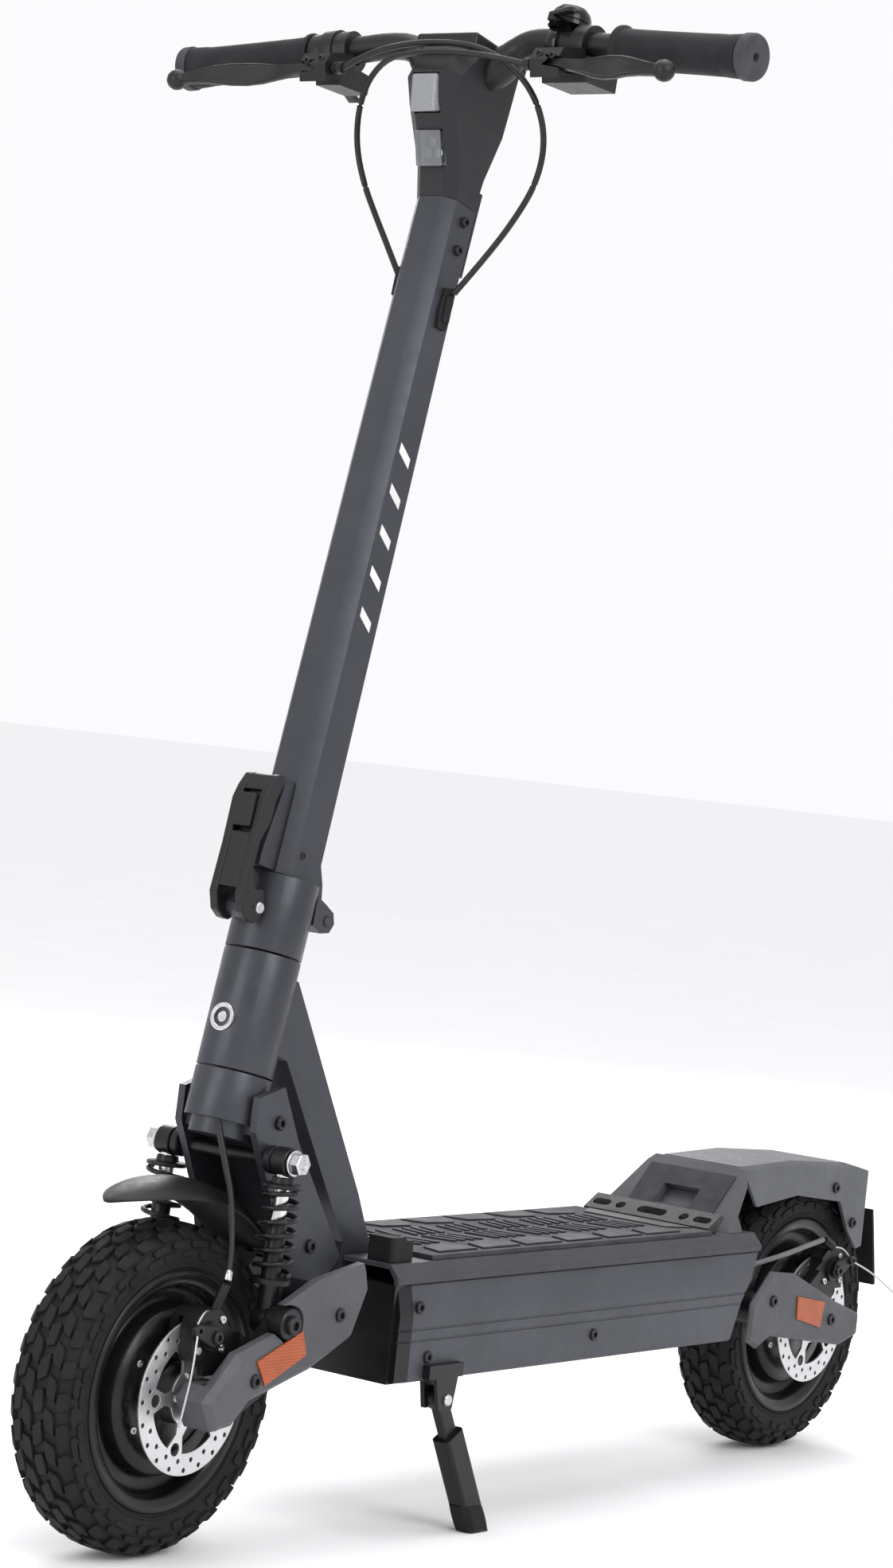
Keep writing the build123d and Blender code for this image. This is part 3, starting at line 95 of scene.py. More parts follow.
# ------------------------------------------------------------------ materials
class Paint:
    """Builds one procedural material step by step."""

    def __init__(self, name):
        self.material = bpy.data.materials.new(name)
        self.material.use_nodes = True
        self.tree = self.material.node_tree
        self.shader = self.tree.nodes["Principled BSDF"]
        self.place = self.tree.nodes.new("ShaderNodeTexCoord").outputs["Object"]
        self.bump_from = None

    def node(self, kind, **settings):
        made = self.tree.nodes.new(kind)
        for key, value in settings.items():
            setattr(made, key, value)
        return made

    def link(self, source, target):
        self.tree.links.new(source, target)

    def noise(self, scale, detail=3.0, rough=0.5, stretch=None):
        """Noise value in object space; stretch scales the three directions first."""
        made = self.node("ShaderNodeTexNoise")
        made.inputs["Scale"].default_value = scale
        made.inputs["Detail"].default_value = detail
        made.inputs["Roughness"].default_value = rough
        source = self.place
        if stretch:
            mapping = self.node("ShaderNodeMapping")
            mapping.inputs["Scale"].default_value = stretch
            self.link(self.place, mapping.inputs["Vector"])
            source = mapping.outputs["Vector"]
        self.link(source, made.inputs["Vector"])
        return made.outputs["Fac"]

    def ramp(self, source, low, high, start=0.35, stop=0.65):
        made = self.node("ShaderNodeValToRGB")
        made.color_ramp.elements[0].position = start
        made.color_ramp.elements[1].position = stop
        made.color_ramp.elements[0].color = (*low, 1)
        made.color_ramp.elements[1].color = (*high, 1)
        self.link(source, made.inputs["Fac"])
        return made.outputs["Color"]

    def remap(self, source, low, high, start=0.3, stop=0.7):
        made = self.node("ShaderNodeMapRange")
        made.inputs["From Min"].default_value = start
        made.inputs["From Max"].default_value = stop
        made.inputs["To Min"].default_value = low
        made.inputs["To Max"].default_value = high
        self.link(source, made.inputs["Value"])
        return made.outputs["Result"]

    def mix(self, factor, first, second):
        made = self.node("ShaderNodeMix", data_type="RGBA")
        self.link(factor, made.inputs["Factor"])
        for value, socket in ((first, made.inputs["A"]), (second, made.inputs["B"])):
            if isinstance(value, tuple):
                socket.default_value = (*value, 1)
            else:
                self.link(value, socket)
        return made.outputs["Result"]

    def bump(self, height, strength, distance):
        made = self.node("ShaderNodeBump")
        made.inputs["Strength"].default_value = strength
        made.inputs["Distance"].default_value = distance
        self.link(height, made.inputs["Height"])
        if self.bump_from:
            self.link(self.bump_from, made.inputs["Normal"])
        self.bump_from = made.outputs["Normal"]

    def done(self, colour=None, roughness=None, **constants):
        if colour:
            self.link(colour, self.shader.inputs["Base Color"])
        if roughness:
            self.link(roughness, self.shader.inputs["Roughness"])
        if self.bump_from:
            self.link(self.bump_from, self.shader.inputs["Normal"])
        for key, value in constants.items():
            self.shader.inputs[key.replace("_", " ")].default_value = value
        return self.material


def scaled(colour, factor):
    return tuple(channel * factor for channel in colour)


def painted(name, colour, rough=0.42, metal=0.35, grain=0.25):
    """Powder-coated or painted metal: fine orange peel, faint tone drift and handling marks."""
    paint = Paint(name)
    drift = paint.noise(9, 4, 0.6)
    peel = paint.noise(1400, 2)
    marks = paint.noise(70, 6, 0.7)
    tone = paint.ramp(drift, scaled(colour, 0.88), scaled(colour, 1.12))
    speck = paint.remap(peel, 0.0, 0.16, 0.55, 0.75)
    tone = paint.mix(speck, tone, scaled(colour, 1.7))
    paint.bump(peel, grain, 0.00012)
    return paint.done(tone, paint.remap(marks, rough - 0.06, rough + 0.1), Metallic=metal,
                      Specular_IOR_Level=0.35)


def moulded(name, colour, rough=0.55, grain=0.35, scale=2200):
    """Injection-moulded plastic with a fine spark-eroded grain."""
    paint = Paint(name)
    grainy = paint.noise(scale, 2)
    drift = paint.noise(14, 4, 0.6)
    scuff = paint.noise(160, 6, 0.75)
    tone = paint.ramp(drift, scaled(colour, 0.86), scaled(colour, 1.14))
    tone = paint.mix(paint.remap(scuff, 0.0, 0.2, 0.6, 0.8), tone, scaled(colour, 1.8))
    paint.bump(grainy, grain, 0.00015)
    return paint.done(tone, paint.remap(scuff, rough - 0.08, rough + 0.12), Specular_IOR_Level=0.32)


def rubbery(name, colour, rough=0.78, dust=0.3, scale=900):
    """Matt rubber with pores and a little pale dust."""
    paint = Paint(name)
    pores = paint.noise(scale, 3)
    film = paint.noise(26, 7, 0.72)
    tone = paint.ramp(paint.noise(60, 4), scaled(colour, 0.8), scaled(colour, 1.2))
    tone = paint.mix(paint.remap(film, 0.0, dust, 0.48, 0.78), tone, (0.16, 0.155, 0.15))
    paint.bump(pores, 0.4, 0.0002)
    return paint.done(tone, paint.remap(film, rough - 0.12, rough + 0.08), Specular_IOR_Level=0.22)


def bare_metal(name, colour, rough=0.28, stretch=(1, 30, 1), scale=60, metal=1.0):
    """Machined or plated metal with directional tool marks."""
    paint = Paint(name)
    lines = paint.noise(scale, 5, 0.6, stretch)
    smudge = paint.noise(45, 5, 0.65)
    tone = paint.ramp(lines, scaled(colour, 0.82), scaled(colour, 1.05))
    paint.bump(lines, 0.12, 0.0001)
    return paint.done(tone, paint.remap(smudge, rough - 0.08, rough + 0.14), Metallic=metal)


def ring_metal(name, colour, axle_x):
    """Brake disc steel: grinding marks that run round the axle."""
    paint = Paint(name)
    split = paint.node("ShaderNodeSeparateXYZ")
    paint.link(paint.place, split.inputs["Vector"])
    total = paint.node("ShaderNodeMath", operation="ADD")
    for slot, (name_of_axis, centre) in enumerate((("X", axle_x), ("Z", AXLE_Z))):
        offset = paint.node("ShaderNodeMath", operation="SUBTRACT")
        offset.inputs[1].default_value = centre
        square = paint.node("ShaderNodeMath", operation="POWER")
        square.inputs[1].default_value = 2
        paint.link(split.outputs[name_of_axis], offset.inputs[0])
        paint.link(offset.outputs[0], square.inputs[0])
        paint.link(square.outputs[0], total.inputs[slot])
    radius = paint.node("ShaderNodeMath", operation="SQRT")
    paint.link(total.outputs[0], radius.inputs[0])
    rings = paint.node("ShaderNodeTexNoise", noise_dimensions="1D")
    rings.inputs["Scale"].default_value = 2600
    rings.inputs["Detail"].default_value = 4
    paint.link(radius.outputs[0], rings.inputs["W"])
    tone = paint.ramp(rings.outputs["Fac"], scaled(colour, 0.8), scaled(colour, 1.05))
    stain = paint.noise(80, 5, 0.7)
    paint.bump(rings.outputs["Fac"], 0.15, 0.0001)
    return paint.done(tone, paint.remap(stain, 0.24, 0.46), Metallic=0.9)


def honeycomb(name):
    """Orange reflector: small cube-corner cells under a clear face."""
    paint = Paint(name)
    cells = paint.node("ShaderNodeTexVoronoi", feature="DISTANCE_TO_EDGE")
    cells.inputs["Scale"].default_value = 420
    cells.inputs["Randomness"].default_value = 0.12
    paint.link(paint.place, cells.inputs["Vector"])
    tone = paint.ramp(cells.outputs["Distance"], (0.17, 0.026, 0.004), (0.40, 0.075, 0.012), 0.02, 0.35)
    blotch = paint.noise(60, 3)
    tone = paint.mix(paint.remap(blotch, 0.0, 0.35), tone, (0.44, 0.10, 0.022))
    paint.bump(cells.outputs["Distance"], 0.35, 0.0006)
    return paint.done(tone, paint.remap(blotch, 0.2, 0.34), Coat_Weight=0.15, Coat_Roughness=0.1,
                      Specular_IOR_Level=0.25)


def lens(name, colour, rough, clear):
    """Clear or frosted moulded lens with faint flutes."""
    paint = Paint(name)
    flutes = paint.noise(420, 2, 0.5, (1, 5, 1))
    frost = paint.noise(700, 2)
    tone = paint.ramp(flutes, scaled(colour, 0.86), scaled(colour, 1.05))
    paint.bump(frost, 0.15, 0.0002)
    return paint.done(tone, paint.remap(flutes, rough, rough + 0.12), Transmission_Weight=clear, IOR=1.49,
                      Coat_Weight=0.4, Coat_Roughness=0.05)


GREY = (0.046, 0.048, 0.056)
STEEL_BLUE = (0.060, 0.063, 0.073)
mat = {
    "frame_grey": painted("frame_grey", GREY, 0.36, 0.55),
    "stem_grey": painted("stem_grey", (0.043, 0.045, 0.053), 0.38, 0.5),
    "frame_black": painted("frame_black", (0.007, 0.007, 0.008), 0.34, 0.2),
    "panel_grey": painted("panel_grey", STEEL_BLUE, 0.45, 0.45),
    "cover_grey": moulded("cover_grey", (0.062, 0.063, 0.070), 0.5),
    "fender_grey": moulded("fender_grey", (0.082, 0.084, 0.093), 0.5),
    "deck_grey": moulded("deck_grey", (0.032, 0.033, 0.038), 0.5),
    "plastic_black": moulded("plastic_black", (0.006, 0.006, 0.007), 0.4),
    "housing_black": moulded("housing_black", (0.011, 0.011, 0.013), 0.42),
    "rubber_black": rubbery("rubber_black", (0.007, 0.007, 0.008), 0.7, 0.06),
    "grip_rubber": rubbery("grip_rubber", (0.009, 0.009, 0.011), 0.62, 0.05),
    "mat_rubber": rubbery("mat_rubber", (0.034, 0.035, 0.040), 0.72, 0.06),
    "tyre_rubber": rubbery("tyre_rubber", (0.007, 0.007, 0.008), 0.72, 0.06),
    "bolt_steel": bare_metal("bolt_steel", (0.55, 0.55, 0.56), 0.28, (1, 1, 1), 400),
    "bolt_black": bare_metal("bolt_black", (0.02, 0.02, 0.022), 0.35, (1, 1, 1), 400, 0.6),
    "rod_chrome": bare_metal("rod_chrome", (0.72, 0.72, 0.73), 0.12, (30, 1, 1), 60),
    "wheel_black": painted("wheel_black", (0.006, 0.006, 0.007), 0.28, 0.2),
    "disc_front": ring_metal("disc_front", (0.62, 0.62, 0.63), FRONT_X),
    "disc_rear": ring_metal("disc_rear", (0.62, 0.62, 0.63), REAR_X),
    "reflector": honeycomb("reflector"),
    "lens_white": lens("lens_white", (0.20, 0.205, 0.22), 0.26, 0.0),
    "lens_clear": lens("lens_clear", (0.34, 0.35, 0.38), 0.08, 0.75),
    "lamp_back": bare_metal("lamp_back", (0.24, 0.245, 0.26), 0.25, (1, 1, 1), 900),
    "led": lens("led", (0.75, 0.78, 0.82), 0.2, 0.0),
    "cap_grey": rubbery("cap_grey", (0.040, 0.041, 0.045), 0.6, 0.05),
    "cable_black": moulded("cable_black", (0.007, 0.007, 0.008), 0.4, 0.2),
    "cable_silver": moulded("cable_silver", (0.13, 0.13, 0.135), 0.42, 0.2),
    "wire": bare_metal("wire", (0.5, 0.5, 0.51), 0.3, (1, 1, 1), 2600),
    "display": moulded("display", (0.005, 0.005, 0.006), 0.16, 0.08),
    "caliper": painted("caliper", (0.009, 0.009, 0.010), 0.38, 0.4),
    "chrome_ring": bare_metal("chrome_ring", (0.66, 0.66, 0.68), 0.2, (1, 1, 1), 300),
    "battery_blue": moulded("battery_blue", (0.02, 0.06, 0.16), 0.4),
    "mat_relief": rubbery("mat_relief", (0.024, 0.025, 0.029), 0.6, 0.04),
    "stripe_white": moulded("stripe_white", (0.62, 0.62, 0.61), 0.5, 0.1),
    "controller": bare_metal("controller", (0.4, 0.4, 0.42), 0.35, (1, 12, 1), 60),
}


# ------------------------------------------------------------------ mesh helpers
def make_object(name, mesh, material, body, bevel=0.0, segments=2, smooth_angle=35):
    """Puts a finished mesh on a body with its material and softened edges."""
    made = bpy.data.objects.new(name, mesh)
    bpy.context.scene.collection.objects.link(made)
    mesh.materials.append(mat[material])
    soften(made, bevel, segments, smooth_angle)
    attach(made, body)
    return made


def round_edges(made, width, segments):
    """Rounds the edges where the faces turn by more than EDGE_ANGLE."""
    rounding = made.modifiers.new("rounding", "BEVEL")
    rounding.width = width
    rounding.segments = segments
    rounding.limit_method = "ANGLE"
    rounding.angle_limit = EDGE_ANGLE
    rounding.harden_normals = True
    rounding.use_clamp_overlap = True


def soften(made, bevel=0.0, segments=2, smooth_angle=35):
    """Smooth shading with real rounded edges where the faces turn sharply."""
    for polygon in made.data.polygons:
        polygon.use_smooth = True
    if bevel:
        round_edges(made, bevel, segments)
    made.data.set_sharp_from_angle(angle=radians(smooth_angle))


def mesh_from(verts, faces, name):
    mesh = bpy.data.meshes.new(name)
    mesh.from_pydata([tuple(v) for v in verts], [], faces)
    work = bmesh.new()
    work.from_mesh(mesh)
    bmesh.ops.recalc_face_normals(work, faces=work.faces)
    work.to_mesh(mesh)
    work.free()
    return mesh


def lofted(rings, closed_path=False, cap=True):
    """Vertices and faces of a skin over rings with equal numbers of points."""
    count = len(rings[0])
    verts = [point for ring in rings for point in ring]
    faces = []
    spans = len(rings) if closed_path else len(rings) - 1
    for i in range(spans):
        here = i * count
        there = ((i + 1) % len(rings)) * count
        for k in range(count):
            n = (k + 1) % count
            faces.append((here + k, here + n, there + n, there + k))
    if cap and not closed_path:
        faces.append(tuple(range(count))[::-1])
        faces.append(tuple(range((len(rings) - 1) * count, len(rings) * count)))
    return verts, faces


def joined(parts):
    """Several (verts, faces) shells as one."""
    verts, faces = [], []
    for some_verts, some_faces in parts:
        start = len(verts)
        verts.extend(some_verts)
        faces.extend(tuple(i + start for i in face) for face in some_faces)
    return verts, faces


def prism(outline, low, high, place):
    """A flat plate: 2-D outline, between two distances; place(u, v, w) gives the point."""
    return lofted([[place(u, v, low) for u, v in outline], [place(u, v, high) for u, v in outline]])


def column_place(u, v, w):
    return column_point(u, w, v)


def basis(direction):
    """Two directions square to this one."""
    direction = direction.normalized()
    helper = UP if abs(direction.z) < 0.9 else Vector((1, 0, 0))
    first = direction.cross(helper).normalized()
    return first, direction.cross(first).normalized()


def turned(profile, origin, axis, count=64):
    """Turned shape: profile of (distance along, radius) pairs in millimetres."""
    axis = axis.normalized()
    first, second = basis(axis)
    rings = []
    for along, radius in profile:
        middle = origin + axis * along * MM
        rings.append([middle + (first * cos(2 * pi * k / count) + second * sin(2 * pi * k / count))
                      * max(radius, 0.02) * MM for k in range(count)])
    return lofted(rings)


def turned_ring(profile, origin, axis, count=96):
    """Turned shape with a closed profile, so it has a hole."""
    axis = axis.normalized()
    first, second = basis(axis)
    rings = []
    for k in range(count):
        spoke = first * cos(2 * pi * k / count) + second * sin(2 * pi * k / count)
        rings.append([origin + axis * along * MM + spoke * radius * MM for along, radius in profile])
    return lofted(rings, closed_path=True)


def smooth_line(points, per_span=8):
    """Points read along a smooth NURBS line through these control points."""
    curve = bpy.data.curves.new("guide", "CURVE")
    curve.dimensions = "3D"
    spline = curve.splines.new("NURBS")
    spline.points.add(len(points) - 1)
    for point, target in zip(points, spline.points):
        target.co = (*point, 1)
    spline.order_u = 3
    spline.use_endpoint_u = True
    spline.resolution_u = per_span
    guide = bpy.data.objects.new("guide", curve)
    bpy.context.scene.collection.objects.link(guide)
    mesh = bpy.data.meshes.new_from_object(guide)
    line = [v.co.copy() for v in mesh.vertices]
    bpy.data.objects.remove(guide)
    bpy.data.meshes.remove(mesh)
    return line


def tube_along(line, radii, count=16, flat=1.0, across=None):
    """A tube whose radius may change along its line; flat thins it across one direction."""
    rings = []
    for i, point in enumerate(line):
        ahead = (line[min(i + 1, len(line) - 1)] - line[max(i - 1, 0)]).normalized()
        first = (across - ahead * across.dot(ahead)).normalized() if across else basis(ahead)[0]
        second = ahead.cross(first).normalized()
        radius = radii(i / (len(line) - 1)) * MM if callable(radii) else radii * MM
        rings.append([point + first * cos(2 * pi * k / count) * radius
                      + second * sin(2 * pi * k / count) * radius * flat for k in range(count)])
    return lofted(rings)


def hex_head(origin, axis, radius, height):
    """Round screw head with a hexagonal socket, standing on its face."""
    axis = axis.normalized()
    first, second = basis(axis)
    count = 24

    angles = [2 * pi * k / count for k in range(count)]
    socket = [radius * 0.46 / cos((angle % (pi / 3)) - pi / 6) for angle in angles]

    def ring(sizes, along):
        return [origin + axis * along * MM + (first * cos(angle) + second * sin(angle)) * size * MM
                for angle, size in zip(angles, sizes)]

    return lofted([ring([radius] * count, 0), ring([radius] * count, height * 0.7),
                   ring([radius * 0.86] * count, height), ring(socket, height), ring(socket, height * 0.35)])


def piece(name, parts, material, body, bevel=0.0, segments=2, smooth_angle=35):
    """Joins shells into one named piece."""
    verts, faces = joined(parts if isinstance(parts, list) else [parts])
    return make_object(name, mesh_from(verts, faces, name), material, body, bevel, segments, smooth_angle)


def both(parts):
    """The shells and their mirror images."""
    return parts + [([mirrored(v) for v in verts], faces) for verts, faces in parts]


# ------------------------------------------------------------------ camera
CAMERA_AT = Vector((2.73855, 1.86654, 0.65118))
YAW, PITCH, ROLL = 3.7677, -0.0155, 0.1028
facing = Vector((cos(PITCH) * cos(YAW), cos(PITCH) * sin(YAW), sin(PITCH)))
right = facing.cross(UP).normalized()
above = right.cross(facing)
rolled_right = right * cos(ROLL) + above * sin(ROLL)
rolled_up = above * cos(ROLL) - right * sin(ROLL)
camera_data = bpy.data.cameras.new("camera")
camera_data.lens = 88.93
camera_data.sensor_width = 36
camera = bpy.data.objects.new("camera", camera_data)
bpy.context.scene.collection.objects.link(camera)
camera.matrix_world = Matrix((
    (rolled_right.x, rolled_up.x, -facing.x, CAMERA_AT.x),
    (rolled_right.y, rolled_up.y, -facing.y, CAMERA_AT.y),
    (rolled_right.z, rolled_up.z, -facing.z, CAMERA_AT.z),
    (0, 0, 0, 1)))
bpy.context.scene.camera = camera

# ------------------------------------------------------------------ carried-over CAD nodes
CAD_FINISH = {
    "deck_shell": ("frame_black", 0.8), "deck_cover": ("deck_grey", 1.0),
    "battery_pack": ("battery_blue", 0.0), "motor_controller": ("controller", 0.6),
    "main_frame": ("frame_grey", 1.6), "headset_bearings": ("bolt_steel", 0.0),
    "kick_plate": ("cover_grey", 1.6), "tail_hook_bar": ("plastic_black", 0.5),
    "rear_fender": ("fender_grey", 2.0), "mudflap": ("rubber_black", 0.6),
    "fork_column": ("frame_grey", 0.8), "fork_legs": ("frame_grey", 1.2), "hinge_base": ("frame_grey", 1.0),
    "front_shock_lower": ("frame_black", 0.6),
    "front_arms": ("frame_black", 0.6), "front_arm_covers": ("cover_grey", 1.2),
    "front_reflectors": ("reflector", 0.25), "front_caliper": ("caliper", 0.8),
    "front_disc": ("disc_front", 0.25), "rear_arms": ("frame_black", 0.6),
    "rear_arm_covers": ("cover_grey", 1.2), "rear_reflectors": ("reflector", 0.25),
    "rear_caliper": ("caliper", 0.8), "rear_disc": ("disc_rear", 0.25), "stem_tube": ("stem_grey", 0.9),
    "cockpit_housing": ("housing_black", 2.0), "lever_clamps": ("plastic_black", 1.0),
    "fold_button": ("plastic_black", 1.0), "throttle_paddle": ("plastic_black", 0.7),
    "charge_cap": ("rubber_black", 1.2), "kickstand": ("frame_black", 0.8),
    "power_button": ("cap_grey", 0.5), "deck_mat": ("mat_rubber", 0.6),
}
for node, (finish, width) in CAD_FINISH.items():
    kept = nodes[node]
    kept.data.materials.clear()
    kept.data.materials.append(mat[finish])
    if width:
        weld = kept.modifiers.new("weld", "WELD")
        weld.merge_threshold = WELD_GAP
        round_edges(kept, width * MM, CAD_SEGMENTS)

# ------------------------------------------------------------------ wheels and tyres
SECTION = [(0, 123.9), (8, 123.7), (16, 122.6), (22, 120.2), (26, 116), (27.8, 110), (27.6, 104), (26.6, 99)]
BLOCK_H = 3.4
TREAD_PITCHES = 32
# half pitches ahead, across, shift, half width, half length, skew, corner cut, share of BLOCK_H
TREAD_ROWS = [(1, 14.6, -2, 3.9, 8.0, -0.3, 0.35, 1.0), (0.1, 24.0, 0, 4.2, 7.2, 0.25, 0.5, 1.0),
              (1, 31.8, 1, 2.6, 8.2, 0.12, 0.5, 0.8)]
EDGE_BLOCKS = [(0.4, 38.4, 0, 2.4, 9.5, 0, 0.6, 0.45), (0, 39.4, 0, 3.6, 6.4, 0.2, 0.5, 0.45)]


def section_at(t):
    """Point and outward normal of the casing, t millimetres along its section from the crown."""
    side = 1 if t >= 0 else -1
    left = abs(t)
    for (y0, r0), (y1, r1) in zip(SECTION, SECTION[1:]):
        span = sqrt((y1 - y0) ** 2 + (r1 - r0) ** 2)
        if left <= span or (y1, r1) == SECTION[-1]:
            share = left / span
            blend = Vector((r0 - r1, y1 - y0)).normalized()
            return (side * (y0 + (y1 - y0) * share), r0 + (r1 - r0) * share,
                    Vector((side * blend.x, blend.y)))
        left -= span


def tread_block(axle, angle, outline, height):
    """A tread block: outline of (t, s) points in millimetres across and round the tyre."""
    middle = [sum(p[i] for p in outline) / len(outline) for i in (0, 1)]
    rings = []
    for lift, size in ((-1.5, 1.0), (height - 0.7, 0.97), (height, 0.88)):
        ring = []
        for t, s in outline:
            t = middle[0] + (t - middle[0]) * size
            s = middle[1] + (s - middle[1]) * size
            across, radius, normal = section_at(t)
            across += normal.x * lift
            radius += normal.y * lift
            turn = angle + s / 124
            ring.append(axle + Vector((cos(turn) * radius, across, sin(turn) * radius)) * MM)
        rings.append(ring)
    return lofted(rings)


def hexagon(t, s, half_t, half_s, skew, cut):
    """Block outline with clipped corners and a slant."""
    corners = [(-1, -1 + cut), (-1 + cut, -1), (1, -1), (1, 1 - cut), (1 - cut, 1), (-1, 1)]
    return [(t + a * half_t * (1 + random.uniform(-0.06, 0.06)), s + b * half_s + skew * a * half_s)
            for a, b in corners]


def make_tyre(name, axle_x, body, node):
    axle = Vector((axle_x, 0, AXLE_Z))
    outer = [(y, r) for y, r in SECTION] + [(26.2, 97.6), (26.9, 96.6), (26.6, 95.4), (25.4, 94.8),
                                            (24.4, 92.6), (24.9, 91.6), (24.0, 90.6), (21.6, 88), (20, 86.1)]
    inner = [(15, 86.1), (18, 94), (22, 104), (21, 113), (14, 118.5), (0, 119.5)]
    profile = [(-y, r) for y, r in reversed(outer)] + outer[1:] + inner
    profile += [(-y, r) for y, r in reversed(inner[:-1])]
    parts = [turned_ring(profile, axle, LEFT, 180)]
    step = 2 * pi / TREAD_PITCHES
    for i in range(TREAD_PITCHES):
        turn = i * step
        half = step / 2
        slant = 0.35 if i % 2 else 0.15
        for side in (1, -1):
            base = turn if side > 0 else turn + half
            rows = [(0, 5.0, 0, 4.3, 8.6, slant, 0.35, 1.0), *TREAD_ROWS, EDGE_BLOCKS[i % 2]]
            for ahead, across, shift, half_t, half_s, skew, cut, tall in rows:
                outline = hexagon(side * across, shift, half_t, half_s, side * skew, cut)
                parts.append(tread_block(axle, base + half * ahead, outline, BLOCK_H * tall))
    made = piece(name, parts, "tyre_rubber", body, smooth_angle=32)
    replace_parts(made, node)


def make_wheel(name, axle_x, body, node, bolt_node, end):
    axle = Vector((axle_x, 0, AXLE_Z))
    face = [(44, 8.1), (44, 20.6), (42.6, 22), (30, 22.6), (28.6, 24), (28.2, 30), (27.4, 31), (27.4, 44),
            (28.6, 45), (28.6, 54.5), (27.2, 57.5), (24.5, 63), (22.6, 64.4), (12, 65), (9.6, 66.6), (9, 69),
            (9, 74), (10.2, 77.4), (13, 79.2), (22, 80.6), (24.6, 82.4), (26.2, 86), (27, 90.2), (26.6, 92),
            (25.6, 92.6), (23.4, 90), (20.4, 86)]
    right = [(-y, r) for y, r in face]
    right[0:4] = [(-40, 8.1), (-40, 13), (-39, 14), (-29, 18)]
    profile = face + right[::-1]
    made = piece(name, turned_ring(profile, axle, LEFT, 128), "wheel_black", body, smooth_angle=50)
    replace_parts(made, node)
    heads = []
    for k in range(6):
        turn = 2 * pi * k / 6 + pi / 6
        spoke = Vector((cos(turn), 0, sin(turn)))
        heads.append(hex_head(axle + spoke * 0.0502 + LEFT * 0.0284, LEFT, 2.9, 1.8))
        heads.append(hex_head(axle + spoke * 0.0502 - LEFT * 0.0284, -LEFT, 2.9, 1.8))
    for k in range(5):
        turn = 2 * pi * k / 5
        spoke = Vector((cos(turn), 0, sin(turn)))
        heads.append(hex_head(axle + spoke * 0.017 + LEFT * 0.0459, LEFT, 3.0, 2.0))
    bolts = piece(end + "_wheel_screws", heads, "bolt_steel", body, smooth_angle=40)
    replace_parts(bolts, bolt_node)
    valve_at = axle + Vector((cos(2.4), 0, sin(2.4))) * 0.079 + LEFT * 0.014
    piece(end + "_valve", turned([(0, 3.4), (4, 3.4), (5, 2.6), (13, 2.4), (14, 3), (22, 3), (22.6, 2.4)],
                                 valve_at, Vector((cos(2.4 + pi), 1.1, sin(2.4 + pi))), 20),
          "rubber_black", body, smooth_angle=50)


make_tyre("front_tyre_tread", FRONT_X, "front_wheel", "front_tyre")
make_tyre("rear_tyre_tread", REAR_X, "rear_wheel", "rear_tyre")
make_wheel("front_wheel_cast", FRONT_X, "front_wheel", "front_wheel", "front_wheel_bolts", "front")
make_wheel("rear_wheel_cast", REAR_X, "rear_wheel", "rear_wheel", "rear_wheel_bolts", "rear")

# ------------------------------------------------------------------ front mudguard: a beaked blade
# angle round the axle, half width, crown radius and fall of the sides
GUARD_STATIONS = [(64.5, 1.5, 160.2, 0.6), (67, 9, 160.4, 2.0), (71, 18, 160.6, 5), (76, 26, 161, 8),
                  (82, 31.5, 161.4, 11), (90, 33.5, 161.8, 13.5), (102, 33.5, 161.8, 14.5),
                  (116, 32.5, 161.4, 14.5),
                  (130, 31, 160.6, 14), (141.5, 29, 159.4, 13)]
front_axle = Vector((FRONT_X, 0, AXLE_Z))
guard_rings = []
for angle, half, crown, drop in GUARD_STATIONS:
    spoke = Vector((cos(radians(angle)), 0, sin(radians(angle))))
    over, under = [], []
    for k in range(-8, 9):
        share = k / 8
        fall = drop * abs(share) ** 2.4
        over.append(front_axle + (spoke * (crown - fall) + LEFT * half * share) * MM)
        under.append(front_axle + (spoke * (crown - fall - 2.4) + LEFT * (half - 0.8) * share) * MM)
    guard_rings.append(over + under[::-1])
guard = piece("front_mudguard_blade", lofted(guard_rings), "plastic_black", "fork", smooth_angle=50)
guard_smooth = guard.modifiers.new("smooth", "SUBSURF")
guard_smooth.levels = guard_smooth.render_levels = 2
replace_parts(guard, "front_mudguard")

# ------------------------------------------------------------------ springs on the two front shocks
shock_low = side_point(855, 58, 184)
shock_high = side_point(849, 58, 305)
lean = (shock_high - shock_low).normalized()
COIL_LOW, COIL_HIGH, COIL_R, COIL_WIRE, COIL_TURNS = 34.6, 99.0, 14.0, 2.0, 6
across_shock = basis(lean)
for end, flip in (("left", 1), ("right", -1)):
    line = []
    steps = COIL_TURNS * 28
    for i in range(steps + 1):
        turn = 2 * pi * i / 28
        height = COIL_LOW + (COIL_HIGH - COIL_LOW) * i / steps
        point = shock_low + lean * height * MM + (across_shock[0] * cos(turn)
                                                  + across_shock[1] * sin(turn)) * COIL_R * MM
        line.append(point if flip > 0 else mirrored(point))
    coil = piece("front_spring_" + end, tube_along(line, COIL_WIRE, 10), "frame_black", "fork",
                 smooth_angle=60)
    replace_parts(coil, "front_springs")
    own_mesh(coil)

